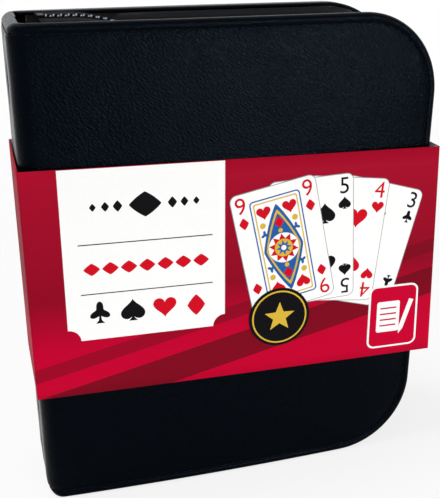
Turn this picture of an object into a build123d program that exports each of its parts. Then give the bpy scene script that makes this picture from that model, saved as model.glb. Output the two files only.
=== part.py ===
from build123d import *
import math
import os

# Rummy card case: a zip-around case with two padded covers joined by a spine, holding two decks
# of cards in a tray, a notepad and a pencil, with a paper band round its middle.
# Millimetres. The case stands on the lower edges of its covers: X runs from the spine to the fore
# edge, Y from the front cover to the back cover, Z up.

# Contents
card_length = 91.0
card_width = 59.0
card_corner = 3.5
deck_thickness = 16.0
pad_width = 84.0
pad_height = 112.0
pad_sheets = 2.6
pad_backing = 0.9
binding_thickness = 0.3
binding_drop = 8.0
pencil_flat_width = 6.0
pencil_length = 100.0
pencil_point_length = 17.0
lead_radius = 1.0
lead_tip_radius = 0.3

# Card tray
tray_wall = 1.2
tray_depth = 9.0
tray_corner = 4.0
card_clearance = 0.3
deck_seat_gap = 0.1
finger_notch_radius = 11.0

# Covers and spine
skin = 1.0
foam_edge = 1.0
board = 2.0
lining = 0.6
layer_gap = 0.05
crown_rise = 1.6
edge_round = 1.4
fore_corner_radius = 24.0
spine_top_radius = 3.0
spine_foot_radius = 5.0
least_corner = 0.5
spine_round = 5.0
crease_gap = 0.3
board_setback = 1.5
spine_board_setback = 0.6
seam_inset = 2.3
seam_width = 0.6
seam_depth = 0.45

# Room inside
tray_to_spine = 2.87
tray_to_zip = 3.8
bay_gap = 0.4
deck_to_pad = 0.9

# Notepad pocket and pencil loop
pocket_sheet = 0.5
pocket_seam = 3.0
pocket_height = 43.0
pad_gap = 0.1
pad_drop = 1.0
pocket_side_gap = 0.3
loop_sheet = 0.8
loop_height = 22.0
loop_foot = 1.9
pencil_clearance = 0.3
pencil_rest_height = 14.5

# Zip chain
zip_recess = 5.5
tape = 0.6
tooth_pitch = 2.0
tooth_length = 0.85
tooth_height = 1.6
tooth_reach = 1.85
tooth_nose = 0.5
bead_width = 0.7
bead_height = 1.1
row_gap = 0.7
hump_recess = 0.5
hump_run = 8.0
hump_arc_radius = 40.0
tape_start = 9.0
teeth_end_margin = 2.2
stop_length = 1.6
stop_height = 1.8

# Zip slider and pull tab
slider_park = 16.0
slider_length = 9.0
slider_plate = 0.8
slider_flange = 0.9
slider_flare = 1.2
slider_side_gap = 0.3
slider_height_gap = 0.25
slot_gap = 0.25
slider_corner = 1.0
divider_width = 0.5
divider_length = 3.2
divider_setback = 0.6
teeth_after_slider = 1.5
bail_opening_length = 3.2
bail_opening_height = 1.2
bail_wire = 0.6
bail_width = 1.8
tab_bar_radius = 0.45
tab_length = 18.0
tab_width = 5.0
tab_arm_gap = 0.25
tab_hole_length = 3.4
tab_corner = 2.0
tab_grip_radius = 1.1

# Paper band
paper = 0.3
band_bottom = 36.0
band_height = 68.0
band_crown_gap = 0.1
band_spine_gap = 0.4
band_fore_gap = 2.8
band_crease_gap = 0.25
glue_flap = 11.5
flap_gap = 0.3

# Sizes that follow from the contents
loop_bore = pencil_flat_width / math.sqrt(3) + pencil_clearance
loop_outer = loop_bore + loop_sheet
pencil_bay = 2 * (loop_outer + loop_foot + bay_gap)
cover = skin + foam_edge + board + lining
well_length = card_length + 2 * card_clearance
well_width = card_width + 2 * card_clearance
tray_length = well_length + 2 * tray_wall
tray_height = 2 * well_width + 3 * tray_wall
pad_stack = pad_backing + 3 * pad_gap + pocket_sheet + pad_sheets + binding_thickness
spine_thickness = skin + board + lining
case_width = spine_thickness + tray_to_spine + tray_length + pencil_bay + tape / 2 + zip_recess
case_height = tray_height + 2 * (tray_to_zip + tape / 2 + zip_recess)
edge_depth = 2 * cover + tray_wall + deck_seat_gap + deck_thickness + deck_to_pad + pad_stack

# Places in X: the whole, with its band, is centred
band_left = band_spine_gap + paper
band_right = band_fore_gap + paper
spine_x = -(band_left + case_width + band_right) / 2 + band_left
fore_x = spine_x + case_width
middle_x = (spine_x + fore_x) / 2
cover_x = spine_x + spine_round + crease_gap
board_x = cover_x + board_setback
tray_x = spine_x + spine_thickness + tray_to_spine
tray_end_x = tray_x + tray_length
pad_x = tray_x + (tray_length - pad_width) / 2
pencil_x = tray_end_x + pencil_bay / 2

# Places in Y: the front is at minus Y
crown_y = edge_depth / 2 + crown_rise
crown_radius = ((case_width / 2) ** 2 + crown_rise ** 2) / (2 * crown_rise)
inner_y = edge_depth / 2 - cover
lining_y = inner_y + lining
board_y = lining_y + board
rolled_radius = edge_round + crown_rise
deck_back_y = inner_y - tray_wall - deck_seat_gap
tray_front_y = inner_y - tray_wall - tray_depth
band_y = crown_y + band_crown_gap
pencil_y = -(inner_y - loop_sheet - loop_bore)

# Places in Z
tray_z = (case_height - tray_height) / 2
pad_z = (case_height - pad_height) / 2 - pad_drop


def crown_height(x):
    """Distance of the cover's crowned face from the middle plane at a place in X."""
    return crown_y - crown_radius + math.sqrt(crown_radius ** 2 - (x - middle_x) ** 2)


fold_y = crown_height(spine_x + spine_round)
spine_inner_x = spine_x + spine_thickness


def slab(sketch, y_low, y_high):
    """A sketch drawn in the XZ plane, made solid between two places in Y."""
    return Pos(0, y_high, 0) * extrude(Plane.XZ * sketch, amount=y_high - y_low)


def block(x_low, x_high, y_low, y_high, z_low, z_high):
    """A box between two corners."""
    box = Box(x_high - x_low, y_high - y_low, z_high - z_low)
    return Pos((x_low + x_high) / 2, (y_low + y_high) / 2, (z_low + z_high) / 2) * box


def outline(inset):
    """The case seen from the front, moved inwards by an inset."""
    sketch = Rectangle(case_width - 2 * inset, case_height - 2 * inset)
    fore = sketch.vertices().sort_by(Axis.X)[2:]
    sketch = fillet(fore, fore_corner_radius - inset)
    foot = sketch.vertices().sort_by(Axis.X)[:2].sort_by(Axis.Y)[0]
    sketch = fillet(foot, max(spine_foot_radius - inset, least_corner))
    top = sketch.vertices().sort_by(Axis.X)[:2].sort_by(Axis.Y)[-1]
    sketch = fillet(top, max(spine_top_radius - inset, least_corner))
    return Pos(middle_x, case_height / 2) * sketch


def cover_outline(inset):
    """The case's outline without its spine corners, which the covers stop short of."""
    width = case_width + spine_round - inset
    sketch = Rectangle(width, case_height - 2 * inset)
    fore = sketch.vertices().sort_by(Axis.X)[2:]
    sketch = fillet(fore, fore_corner_radius - inset)
    return Pos(fore_x - inset - width / 2, case_height / 2) * sketch


def beyond(x):
    """Everything on the fore-edge side of a place in X."""
    return block(x, fore_x + case_width, -case_height, case_height, -case_height, 2 * case_height)


def crowned(depth):
    """The round body whose front is the cover's crowned face, moved inwards by a depth."""
    barrel = Cylinder(crown_radius - depth, 3 * case_height)
    return Pos(middle_x, crown_radius - crown_y, case_height / 2) * barrel


def cover_form(inset):
    """The front cover's outer form moved inwards: crowned face with a rolled edge."""
    form = slab(cover_outline(inset), -crown_y + inset, -inner_y)
    face = form.faces().sort_by(Axis.Y)[0]
    rim = face.edges().sort_by(Axis.X)[1:]
    return fillet(rim, rolled_radius - inset) & crowned(inset)


def front_skin():
    """The grained skin: crowned face, turned edges and a sewn groove just inside them."""
    ring = cover_outline(seam_inset) - cover_outline(seam_inset + seam_width)
    groove = slab(ring, -crown_y, -inner_y) & (crowned(-seam_depth) - crowned(seam_depth))
    hollow = cover_form(skin) + slab(cover_outline(skin), -inner_y - layer_gap, -inner_y + skin)
    return (cover_form(0) - hollow - groove) & beyond(cover_x)


def front_foam():
    """Padding under the skin, cut to the flat of the cover, which gives it its crown."""
    pad = slab(cover_outline(rolled_radius), -crown_y, -board_y - layer_gap)
    return pad & crowned(skin + layer_gap) & beyond(board_x)


def front_board():
    """Stiff board behind the padding."""
    return slab(cover_outline(skin + layer_gap), -board_y, -lining_y - layer_gap) & beyond(board_x)


def front_lining():
    """Lining sheet that closes the cover on the inside."""
    return slab(cover_outline(skin + layer_gap), -lining_y, -inner_y) & beyond(board_x)


def to_back(shape):
    """The same piece on the back cover."""
    return mirror(shape, about=Plane.XZ)


def spine_channel(radius, x_low, half):
    """The spine's outline seen from above, rounded at its two outer corners."""
    width = 3 * spine_round
    sketch = Rectangle(width, 2 * half)
    sketch = fillet(sketch.vertices(), radius)
    return Pos(x_low + width / 2, 0) * sketch


def spine_skin():
    """Skin of the spine, with both of its rounded corners."""
    outer = spine_channel(spine_round, spine_x, fold_y)
    inner = spine_channel(spine_round - skin, spine_x + skin, fold_y - skin)
    wall = extrude(outer - inner, amount=case_height)
    corner = spine_x + spine_round
    return (wall - beyond(corner)) & slab(outline(0), -2 * crown_y, 2 * crown_y)


def spine_board():
    """Stiff strip inside the spine."""
    half = fold_y - spine_round - spine_board_setback
    low = spine_x + skin + layer_gap
    strip = block(low, low + board - layer_gap, -half, half, 0, case_height)
    return strip & slab(outline(skin), -crown_y, crown_y)


def spine_lining():
    """Lining strip of the spine."""
    half = fold_y - spine_round - spine_board_setback
    low = spine_x + skin + board + layer_gap
    strip = block(low, spine_inner_x, -half, half, 0, case_height)
    return strip & slab(outline(skin), -crown_y, crown_y)


def ramp_run():
    """Length of the S-shaped rise from the recessed run to the hump."""
    rise = zip_recess - hump_recess
    return math.sqrt(4 * hump_arc_radius * rise - rise ** 2)


def zip_line(start_x, end_x):
    """The zip's centre line in the XZ plane: bottom run, fore edge, top run and the hump."""
    low = zip_recess
    high = case_height - zip_recess
    fore = fore_x - zip_recess
    radius = fore_corner_radius - zip_recess
    corner_x = fore_x - fore_corner_radius
    hump_x = spine_x + tape_start + hump_run
    hump_z = case_height - hump_recess
    ramp_x = hump_x + ramp_run()
    centre_x = (hump_x + ramp_x) / 2
    centre_z = (high + hump_z) / 2
    turn = math.degrees(math.asin((ramp_x - hump_x) / 2 / hump_arc_radius))
    low_arc = CenterArc((corner_x, fore_corner_radius), radius, -90, 90)
    high_arc = CenterArc((corner_x, case_height - fore_corner_radius), radius, 0, 90)
    rise_arc = CenterArc((ramp_x, high + hump_arc_radius), hump_arc_radius, -90, -turn)
    top_arc = CenterArc((hump_x, hump_z - hump_arc_radius), hump_arc_radius, 90 - turn, turn)
    return [
        Line((start_x, low), (corner_x, low)),
        low_arc,
        Line((fore, fore_corner_radius), (fore, case_height - fore_corner_radius)),
        high_arc,
        Line((corner_x, high), (ramp_x, high)),
        rise_arc,
        top_arc,
        Line((hump_x, hump_z), (end_x, hump_z)),
    ]


def zip_strip(start_x, end_x, width):
    """A strip of a given width along the zip's centre line."""
    strip = Sketch()
    for edge in zip_line(start_x, end_x):
        strip += trace(edge, line_width=width)
    return strip


tape_start_x = spine_x + tape_start
slider_x = spine_x + slider_park
teeth_start_x = slider_x + slider_length / 2 + teeth_after_slider
teeth_end_x = tape_start_x + teeth_end_margin
teeth_y = row_gap / 2 + tooth_reach
bead_outer = teeth_y + bead_width


def front_tape():
    """Woven tape of the front row with its corded edge, sewn to the front cover's inside."""
    sheet = slab(zip_strip(tape_start_x, tape_start_x, tape), -inner_y, -bead_outer)
    cord = slab(zip_strip(tape_start_x, tape_start_x, bead_height), -bead_outer, -teeth_y)
    return sheet + cord


def zip_places(shift):
    """Where the teeth of one row sit along the chain, each with its angle."""
    places = []
    travel = shift + tooth_length / 2
    for edge in zip_line(teeth_start_x, teeth_end_x):
        while travel < edge.length:
            along = edge.tangent_at(travel, position_mode=PositionMode.LENGTH)
            turn = math.degrees(math.atan2(along.Y, along.X))
            point = edge.position_at(travel, position_mode=PositionMode.LENGTH)
            places.append(Pos(point.X, 0, point.Y) * Rot(0, -turn, 0))
            travel += tooth_pitch
        travel -= edge.length
    return places


def back_teeth(shift):
    """One row of teeth on its corded edge, each tooth narrowing to its nose."""
    root = tooth_length / 2
    nose = tooth_nose / 2
    tip_y = row_gap / 2
    points = [(-root, teeth_y), (root, teeth_y), (nose, tip_y), (-nose, tip_y)]
    plan = make_face(Polyline(*points, close=True))
    tooth = extrude(plan, amount=tooth_height / 2, both=True)
    return Compound([(place * tooth).solid() for place in zip_places(shift)])


def back_stops():
    """The two crimped end stops of one row, at the two ends of its tape."""
    low = block(
        tape_start_x, tape_start_x + stop_length, row_gap / 2, teeth_y,
        zip_recess - stop_height / 2, zip_recess + stop_height / 2,
    )
    hump_z = case_height - hump_recess
    high = block(
        tape_start_x, tape_start_x + stop_length, row_gap / 2, teeth_y,
        hump_z - stop_height / 2, hump_z + stop_height / 2,
    )
    return Compound([low.solid(), high.solid()])


# Slider, standing over the chain on the bottom run with its outer side down
channel_y = bead_outer + slider_side_gap
channel_z = tooth_height / 2 + slider_height_gap
slider_outer_z = channel_z + slider_plate
slot_z = tape / 2 + slot_gap
bail_z = zip_recess - slider_outer_z
tab_z = bail_z - bail_opening_height / 2


def slider_plan(half):
    """The slider seen from below: straight at its tail, flared towards its two shoulders."""
    tail = -slider_length / 2
    shoulder = slider_length / 2
    points = [(tail, -half), (0, -half), (shoulder, -half - slider_flare)]
    points += [(shoulder, half + slider_flare), (0, half), (tail, half)]
    return Pos(slider_x, 0) * make_face(Polyline(*points, close=True))


def slider_body():
    """Cast slider: two plates, flanges round the channel, and the divider between the rows."""
    plan = slider_plan(channel_y + slider_flange)
    plan = fillet(plan.vertices().sort_by(Axis.X)[:2], slider_corner)
    plan = fillet(plan.vertices().sort_by(Axis.X)[-2:], slider_corner)
    body = extrude(plan, amount=slider_outer_z, both=True)
    channel = extrude(slider_plan(channel_y), amount=channel_z, both=True)
    wide = slider_length + 2 * slider_flare
    slot = Box(wide, 4 * channel_y, 2 * slot_z)
    nose = slider_x + slider_length / 2 - divider_setback
    middle = nose - divider_length / 2
    half = divider_width / 2
    points = [(nose, 0), (middle, half), (nose - divider_length, 0), (middle, -half)]
    divider = extrude(make_face(Polyline(*points, close=True)), amount=channel_z, both=True)
    body = body - channel - Pos(slider_x, 0, 0) * slot + divider
    return Pos(0, 0, zip_recess) * body


def slider_bail():
    """Arched bail on the slider's outer plate."""
    length = bail_opening_length + 2 * bail_wire
    height = bail_opening_height + bail_wire
    arch = Pos(slider_x, bail_z - height / 2) * Rectangle(length, height)
    low = arch.vertices().sort_by(Axis.Y)[:2]
    arch = fillet(low, bail_wire)
    opening = Rectangle(bail_opening_length, bail_opening_height)
    arch -= Pos(slider_x, bail_z - bail_opening_height / 2) * opening
    return slab(arch, -bail_width / 2, bail_width / 2)


def pull_tab():
    """Pull tab: a round bar through the bail, two arms and a flat grip with a hole."""
    plate = Pos(slider_x + tab_length / 2, 0) * Rectangle(tab_length, tab_width)
    plate = fillet(plate.vertices().sort_by(Axis.X)[2:], tab_corner)
    window = Rectangle(tab_hole_length, bail_width + 2 * tab_arm_gap)
    plate -= Pos(slider_x + tab_hole_length / 2, 0) * window
    grip_x = slider_x + tab_length - tab_corner - tab_grip_radius / 2
    plate -= Pos(grip_x, 0) * Circle(tab_grip_radius)
    bar = Rot(90, 0, 0) * Cylinder(tab_bar_radius, tab_width)
    tab = extrude(plate, amount=tab_bar_radius, both=True) + Pos(slider_x, 0, 0) * bar
    return Pos(0, 0, tab_z) * tab


def deck_z(number):
    """Bottom of a deck's well, counted from below."""
    return tray_z + tray_wall + number * (well_width + tray_wall)


def card_tray():
    """Moulded tray with two wells, rounded corners and finger cut-outs at the fore edge."""
    body = Rectangle(tray_length, tray_height)
    body = fillet(body.vertices(), tray_corner)
    body = Pos(tray_x + tray_length / 2, case_height / 2) * body
    tray = slab(body, tray_front_y, inner_y)
    for number in range(2):
        low = deck_z(number)
        well = Rectangle(well_length, well_width)
        well = fillet(well.vertices(), card_corner)
        well = Pos(tray_x + tray_length / 2, low + well_width / 2) * well
        tray -= slab(well, tray_front_y - tray_wall, inner_y - tray_wall)
        notch = Rot(0, 90, 0) * Cylinder(finger_notch_radius, 4 * tray_wall)
        tray -= Pos(tray_end_x, tray_front_y, low + well_width / 2) * notch
    return tray


def card_deck(number):
    """A deck of cards lying in one of the wells."""
    deck = Rectangle(card_length, card_width)
    deck = fillet(deck.vertices(), card_corner)
    middle = deck_z(number) + well_width / 2
    deck = Pos(tray_x + tray_length / 2, middle) * deck
    return slab(deck, deck_back_y - deck_thickness, deck_back_y)


# Notepad: backing in the pocket, sheets over it
backing_y = -inner_y + pad_gap
pocket_y = backing_y + pad_backing + pad_gap
sheets_y = pocket_y + pocket_sheet + pad_gap
binding_y = sheets_y + pad_sheets
pad_end_x = pad_x + pad_width
pad_top_z = pad_z + pad_height


def notepad_backing():
    """Backing board of the pad."""
    return block(pad_x, pad_end_x, backing_y, backing_y + pad_backing, pad_z, pad_top_z)


def notepad_sheets():
    """Block of sheets."""
    return block(pad_x, pad_end_x, sheets_y, binding_y, pad_z, pad_top_z)


def notepad_binding():
    """Strip glued over the pad's top edge, from the backing to the first sheet."""
    low = pad_top_z - binding_drop
    cap = block(
        pad_x, pad_end_x, backing_y, binding_y + binding_thickness,
        low, pad_top_z + binding_thickness,
    )
    return cap - block(pad_x, pad_end_x, backing_y, binding_y, low, pad_top_z)


def notepad_pocket():
    """Pocket on the front lining, sewn at its sides and bottom and open at its top."""
    low = pad_z - pocket_side_gap
    high = low + pocket_height
    left = pad_x - pocket_side_gap
    right = pad_end_x + pocket_side_gap
    outside = block(
        left - pocket_seam, right + pocket_seam, -inner_y, pocket_y + pocket_sheet,
        low - pocket_seam, high,
    )
    return outside - block(left, right, -inner_y, pocket_y, low, high)


# Pencil, standing in its loop between the tray and the fore edge
pencil_top_z = pencil_rest_height + pencil_length


def lead_profile(radius):
    """Half of the lead's outline, with its cone, seen from the side."""
    cone_radius = pencil_flat_width / math.sqrt(3)
    slope = (cone_radius - lead_tip_radius) / pencil_point_length
    cone_start = pencil_length - (radius - lead_tip_radius) / slope
    points = [(0, 0), (radius, 0), (radius, cone_start), (lead_tip_radius, pencil_length)]
    return make_face(Polyline(*points, (0, pencil_length), close=True))


def pencil_barrel():
    """Six-sided wooden barrel, sharpened to a cone, bored for its lead."""
    cone_radius = pencil_flat_width / math.sqrt(3)
    prism = extrude(RegularPolygon(cone_radius, 6), amount=pencil_length)
    point = revolve(Plane.XZ * lead_profile(cone_radius), Axis.Z)
    bore = Pos(0, 0, pencil_length / 2) * Cylinder(lead_radius + layer_gap, 2 * pencil_length)
    barrel = (prism & point) - bore
    return Pos(pencil_x, pencil_y, pencil_rest_height) * barrel


def pencil_lead():
    """Lead from end to end, with the tip of the point."""
    lead = revolve(Plane.XZ * lead_profile(lead_radius), Axis.Z)
    return Pos(pencil_x, pencil_y, pencil_rest_height) * lead


def pencil_loop():
    """Elastic loop round the pencil, with its two feet sewn to the front lining."""
    foot_y = -inner_y - pencil_y
    loop = Circle(loop_outer) + Pos(0, foot_y / 2) * Rectangle(2 * loop_outer, -foot_y)
    feet = Pos(0, foot_y + loop_sheet / 2) * Rectangle(2 * (loop_outer + loop_foot), loop_sheet)
    loop = loop + feet - Circle(loop_bore)
    low = (case_height - loop_height) / 2
    return Pos(pencil_x, pencil_y, low) * extrude(loop, amount=loop_height)


# Paper band, creased at its four corners; its seam is glued at the back of the fore edge
band_top = band_bottom + band_height
band_left_x = spine_x - band_left
band_fore_x = fore_x + band_fore_gap


def band_panel(x_low, x_high, y_low, y_high):
    """One flat panel of the band."""
    return block(x_low, x_high, y_low, y_high, band_bottom, band_top)


def band_front_panel():
    """Panel over the front cover."""
    return band_panel(band_left_x, band_fore_x + paper, -band_y - paper, -band_y)


def band_fore_edge_panel():
    """Panel over the fore edge."""
    return band_panel(band_fore_x, band_fore_x + paper, -band_y, band_y - band_crease_gap)


def band_spine_panel():
    """Panel over the spine."""
    half = band_y - band_crease_gap
    return band_panel(band_left_x, band_left_x + paper, -half, half)


def band_back_panel():
    """Panel over the back cover."""
    return band_panel(band_left_x, band_fore_x + paper, band_y, band_y + paper)


def band_glue_flap():
    """Flap of the back panel that is glued inside the fore-edge panel."""
    high = band_fore_x - flap_gap
    return band_panel(high - paper, high, band_y - glue_flap, band_y)


half_pitch = tooth_pitch / 2
parts = {
    "front_cover_skin": front_skin(),
    "front_cover_foam": front_foam(),
    "front_cover_board": front_board(),
    "front_cover_lining": front_lining(),
    "back_cover_skin": to_back(front_skin()),
    "back_cover_foam": to_back(front_foam()),
    "back_cover_board": to_back(front_board()),
    "back_cover_lining": to_back(front_lining()),
    "spine_skin": spine_skin(),
    "spine_board": spine_board(),
    "spine_lining": spine_lining(),
    "zip_tape_front": front_tape(),
    "zip_tape_back": to_back(front_tape()),
    "zip_teeth_front": to_back(back_teeth(0)),
    "zip_teeth_back": back_teeth(half_pitch),
    "zip_stops_front": to_back(back_stops()),
    "zip_stops_back": back_stops(),
    "slider_body": slider_body(),
    "slider_bail": slider_bail(),
    "pull_tab": pull_tab(),
    "card_tray": card_tray(),
    "card_deck_lower": card_deck(0),
    "card_deck_upper": card_deck(1),
    "notepad_backing": notepad_backing(),
    "notepad_sheets": notepad_sheets(),
    "notepad_binding": notepad_binding(),
    "notepad_pocket": notepad_pocket(),
    "pencil_barrel": pencil_barrel(),
    "pencil_lead": pencil_lead(),
    "pencil_loop": pencil_loop(),
    "band_front_panel": band_front_panel(),
    "band_fore_edge_panel": band_fore_edge_panel(),
    "band_spine_panel": band_spine_panel(),
    "band_back_panel": band_back_panel(),
    "band_glue_flap": band_glue_flap(),
}

os.makedirs("parts", exist_ok=True)
for name, part in parts.items():
    part.label = name
    export_step(part, f"parts/{name}.step")

whole = Compound(list(parts.values())).bounding_box()
print("case", round(case_width, 2), round(case_height, 2), round(edge_depth, 2))
print("box", whole.min, whole.max)
print("spine_x", spine_x, "fold_y", fold_y, "slider_x", slider_x, "tab_z", tab_z)
print("inner_y", inner_y, "crown_y", crown_y)
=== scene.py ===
import math

import bmesh
import bpy
from mathutils import Matrix, Vector, noise


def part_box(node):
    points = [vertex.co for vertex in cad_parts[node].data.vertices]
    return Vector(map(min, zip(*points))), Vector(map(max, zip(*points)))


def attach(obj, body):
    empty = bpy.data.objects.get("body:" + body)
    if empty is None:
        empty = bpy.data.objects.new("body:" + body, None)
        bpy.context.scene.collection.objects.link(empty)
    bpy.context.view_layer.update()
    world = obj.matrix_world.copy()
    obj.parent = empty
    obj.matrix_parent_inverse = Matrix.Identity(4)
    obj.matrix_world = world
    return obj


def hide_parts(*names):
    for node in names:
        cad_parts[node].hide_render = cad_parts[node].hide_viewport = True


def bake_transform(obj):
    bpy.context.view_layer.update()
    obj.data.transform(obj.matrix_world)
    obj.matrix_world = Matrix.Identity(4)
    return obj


bl_info = {
    "name": "Rummy card case",
    "version": (1, 0, 0),
    "blender": (4, 5, 0),
    "location": "View3D > Sidebar > Card case",
    "description": "Dresses a zip-around card case in leather, with its zip, contents and band",
    "category": "Object",
}

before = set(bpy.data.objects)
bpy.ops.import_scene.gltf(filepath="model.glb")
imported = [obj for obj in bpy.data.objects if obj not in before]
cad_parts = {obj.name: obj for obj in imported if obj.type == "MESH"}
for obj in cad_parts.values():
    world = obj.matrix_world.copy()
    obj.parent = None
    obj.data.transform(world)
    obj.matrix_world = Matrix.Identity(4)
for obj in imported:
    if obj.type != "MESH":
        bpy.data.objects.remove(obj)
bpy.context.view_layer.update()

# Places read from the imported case, in metres
MM = 0.001
SPINE_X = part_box("spine_skin")[0].x
CORNER_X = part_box("spine_skin")[1].x
FORE_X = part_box("front_cover_skin")[1].x
CASE_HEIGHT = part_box("front_cover_skin")[1].z
CROWN_Y = -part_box("front_cover_skin")[0].y
SPINE_HALF = -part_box("spine_skin")[0].y
INNER_Y = -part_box("front_cover_lining")[1].y
SPINE_INNER_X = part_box("spine_lining")[1].x
BAND_LOW, BAND_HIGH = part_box("band_front_panel")
BAND_TOP = BAND_HIGH.z
BAND_BOTTOM = BAND_LOW.z

# Real sizes that the case is made to
FORE_RADIUS = 24 * MM
SPINE_ROUND = CORNER_X - SPINE_X
SPINE_TOP_RADIUS = 3 * MM
SPINE_FOOT_RADIUS = 5 * MM
CROWN_RISE = 1.6 * MM
MIDDLE_X = (SPINE_X + FORE_X) / 2
CROWN_RADIUS = (((FORE_X - SPINE_X) / 2) ** 2 + CROWN_RISE ** 2) / (2 * CROWN_RISE)
SPINE_FLAT = SPINE_HALF - SPINE_ROUND
CORNER_RUN = SPINE_ROUND * math.pi / 2
COVER_START = SPINE_FLAT + CORNER_RUN
PATTERN_WIDTH = COVER_START + FORE_X - CORNER_X


# How finely the pieces are made, and where the roll of the covers' edge is highest
CREST_SHARE = 0.55
LEATHER_NET = 2 * MM
LEATHER_OVERRUN = 12 * MM
CORNER_STEPS = 24
BAND_ROWS = 12
BAND_COLUMNS = 40
PRINT_COLUMNS = 7
PRINT_COLUMN_WIDTH = 8 * MM
SMALLEST = 1e-6


def tone(red, green, blue):
    """A colour given in screen values, as the linear colour that materials use."""
    linear = []
    for value in (red, green, blue):
        share = value / 255
        linear.append(share / 12.92 if share <= 0.04045 else ((share + 0.055) / 1.055) ** 2.4)
    return tuple(linear)


def length(name, description, default):
    """A size property in metres."""
    return bpy.props.FloatProperty(
        name=name, description=description, default=default, unit="LENGTH", precision=5
    )


def colour(name, description, default):
    """A colour property."""
    return bpy.props.FloatVectorProperty(
        name=name, description=description, default=default, subtype="COLOR",
        size=3, min=0, max=1,
    )


class LeatherSizes(bpy.types.PropertyGroup):
    """Sizes of the leather covers."""

    grain: length("Grain", "Width of one pebble of the grain", 0.75 * MM)
    roll_width: length("Rolled edge", "Width of the rolled edge", 2.2 * MM)
    roll_height: length("Edge drop", "How far the roll turns down at its outside", 1.5 * MM)
    groove_width: length("Groove width", "Width of the sewn groove", 0.9 * MM)
    groove_depth: length("Groove depth", "Depth of the sewn groove", 0.6 * MM)
    puff: length("Padding rise", "How far the padding rises from groove to field", 0.55 * MM)
    puff_reach: length("Padding reach", "Distance over which the padding rises", 7.0 * MM)
    wrinkle: length("Wrinkles", "Depth of the soft wrinkles in the skin", 0.13 * MM)
    pucker: length("Puckers", "Depth of the puckers that the seam draws", 0.12 * MM)
    thickness: length("Thickness", "Thickness of the leather", 0.7 * MM)
    stitch: length("Stitch", "Length of one stitch", 2.1 * MM)
    stitch_pitch: length("Stitch pitch", "Distance from stitch to stitch", 2.9 * MM)
    thread: length("Thread", "Thickness of the sewing thread", 0.42 * MM)


class BandSizes(bpy.types.PropertyGroup):
    """Sizes of the paper band and its print."""

    crease: length("Crease", "Radius of the band's creases", 0.5 * MM)
    paper: length("Paper", "Thickness of the paper", 0.28 * MM)
    skew: length("Skew", "How much lower the loose band sits at the fore edge", 1.1 * MM)
    lean: length("Lean", "How far the loose fore-edge panel stands out at its foot", 1.5 * MM)
    bow: length("Bow", "How far the paper bows out between its creases", 0.2 * MM)
    ink: length("Ink step", "Height of one printed layer over the one below", 0.018 * MM)


class CaseColours(bpy.types.PropertyGroup):
    """Colours of the case and its band."""

    leather: colour("Leather", "Colour of the leather", tone(2, 4, 9))
    thread: colour("Thread", "Colour of the sewing thread", tone(5, 6, 9))
    lining: colour("Lining", "Colour of the lining cloth", tone(26, 28, 34))
    zip: colour("Zip", "Colour of the zip's tape and coil", tone(11, 12, 15))
    metal: colour("Slider", "Colour of the enamelled slider", tone(28, 29, 32))
    tray: colour("Tray", "Colour of the moulded tray", tone(34, 35, 38))
    band: colour("Band", "Main red of the band", tone(165, 14, 42))
    band_deep: colour("Band, deep", "Darker red of the band's stripes", tone(107, 12, 28))
    band_bright: colour("Band, bright", "Brighter red at the band's foot", tone(196, 4, 48))
    paper: colour("Paper", "White of the paper", tone(247, 247, 246))
    ink_black: colour("Black ink", "Black of the print", tone(18, 18, 20))
    ink_red: colour("Red ink", "Red of the printed suits", tone(205, 16, 34))
    gold: colour("Gold ink", "Gold of the seal", tone(214, 178, 62))
    back_blue: colour("Card back", "Blue of the card backs", tone(34, 62, 128))
    pencil: colour("Pencil", "Lacquer of the pencil", tone(150, 20, 30))


def sizes(name):
    """One of the groups of properties."""
    return getattr(bpy.context.scene, name)


def opaque(values):
    """A colour property as a socket's four numbers."""
    return (values[0], values[1], values[2], 1.0)


def dimmed(values, share):
    """A share of a colour, as a socket's four numbers."""
    return opaque([part * share for part in values])


def find(sockets, name):
    """A node's socket by its identifier, its name or its place."""
    if isinstance(name, int):
        return sockets[name]
    for socket in sockets:
        if socket.identifier == name:
            return socket
    return sockets[name]


class Wire:
    """A socket that takes part in arithmetic: each operation adds its Math node."""

    def __init__(self, tree, socket):
        self.tree = tree
        self.socket = socket

    def feed(self, place):
        """Links this wire to a socket."""
        self.tree.links.new(self.socket, place)

    def math(self, operation, *values, clamp=False):
        """A Math node on these values."""
        node = self.tree.nodes.new("ShaderNodeMath")
        node.operation = operation
        node.use_clamp = clamp
        for place, value in zip(node.inputs, values):
            join(value, place)
        return Wire(self.tree, node.outputs[0])

    def __add__(self, other):
        return self.math("ADD", self, other)

    def __radd__(self, other):
        return self.math("ADD", other, self)

    def __sub__(self, other):
        return self.math("SUBTRACT", self, other)

    def __rsub__(self, other):
        return self.math("SUBTRACT", other, self)

    def __mul__(self, other):
        return self.math("MULTIPLY", self, other)

    def __rmul__(self, other):
        return self.math("MULTIPLY", other, self)

    def __truediv__(self, other):
        return self.math("DIVIDE", self, other)

    def __gt__(self, other):
        return self.math("GREATER_THAN", self, other)

    def __lt__(self, other):
        return self.math("LESS_THAN", self, other)

    def wave(self, pitch):
        """A sine of this distance, from 0 to 1, with a given pitch."""
        return self.math("SINE", self * (2 * math.pi / pitch)) * 0.5 + 0.5

    def size(self):
        """This value without its sign."""
        return self.math("ABSOLUTE", self)

    def root(self):
        """The square root."""
        return self.math("SQRT", self)

    def or_wire(self, other):
        """The larger of two wires."""
        return self.math("MAXIMUM", self, other)

    def repeat(self, pitch):
        """This distance counted from 0 to 1 over and over."""
        return self.math("FRACT", self / pitch)

    def clamped(self):
        """This value, kept from 0 to 1."""
        return self.math("ADD", self, 0.0, clamp=True)


def join(value, place):
    """Links a wire to a socket, or sets the socket to a value."""
    if isinstance(value, Wire):
        value.feed(place)
    else:
        place.default_value = value


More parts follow.
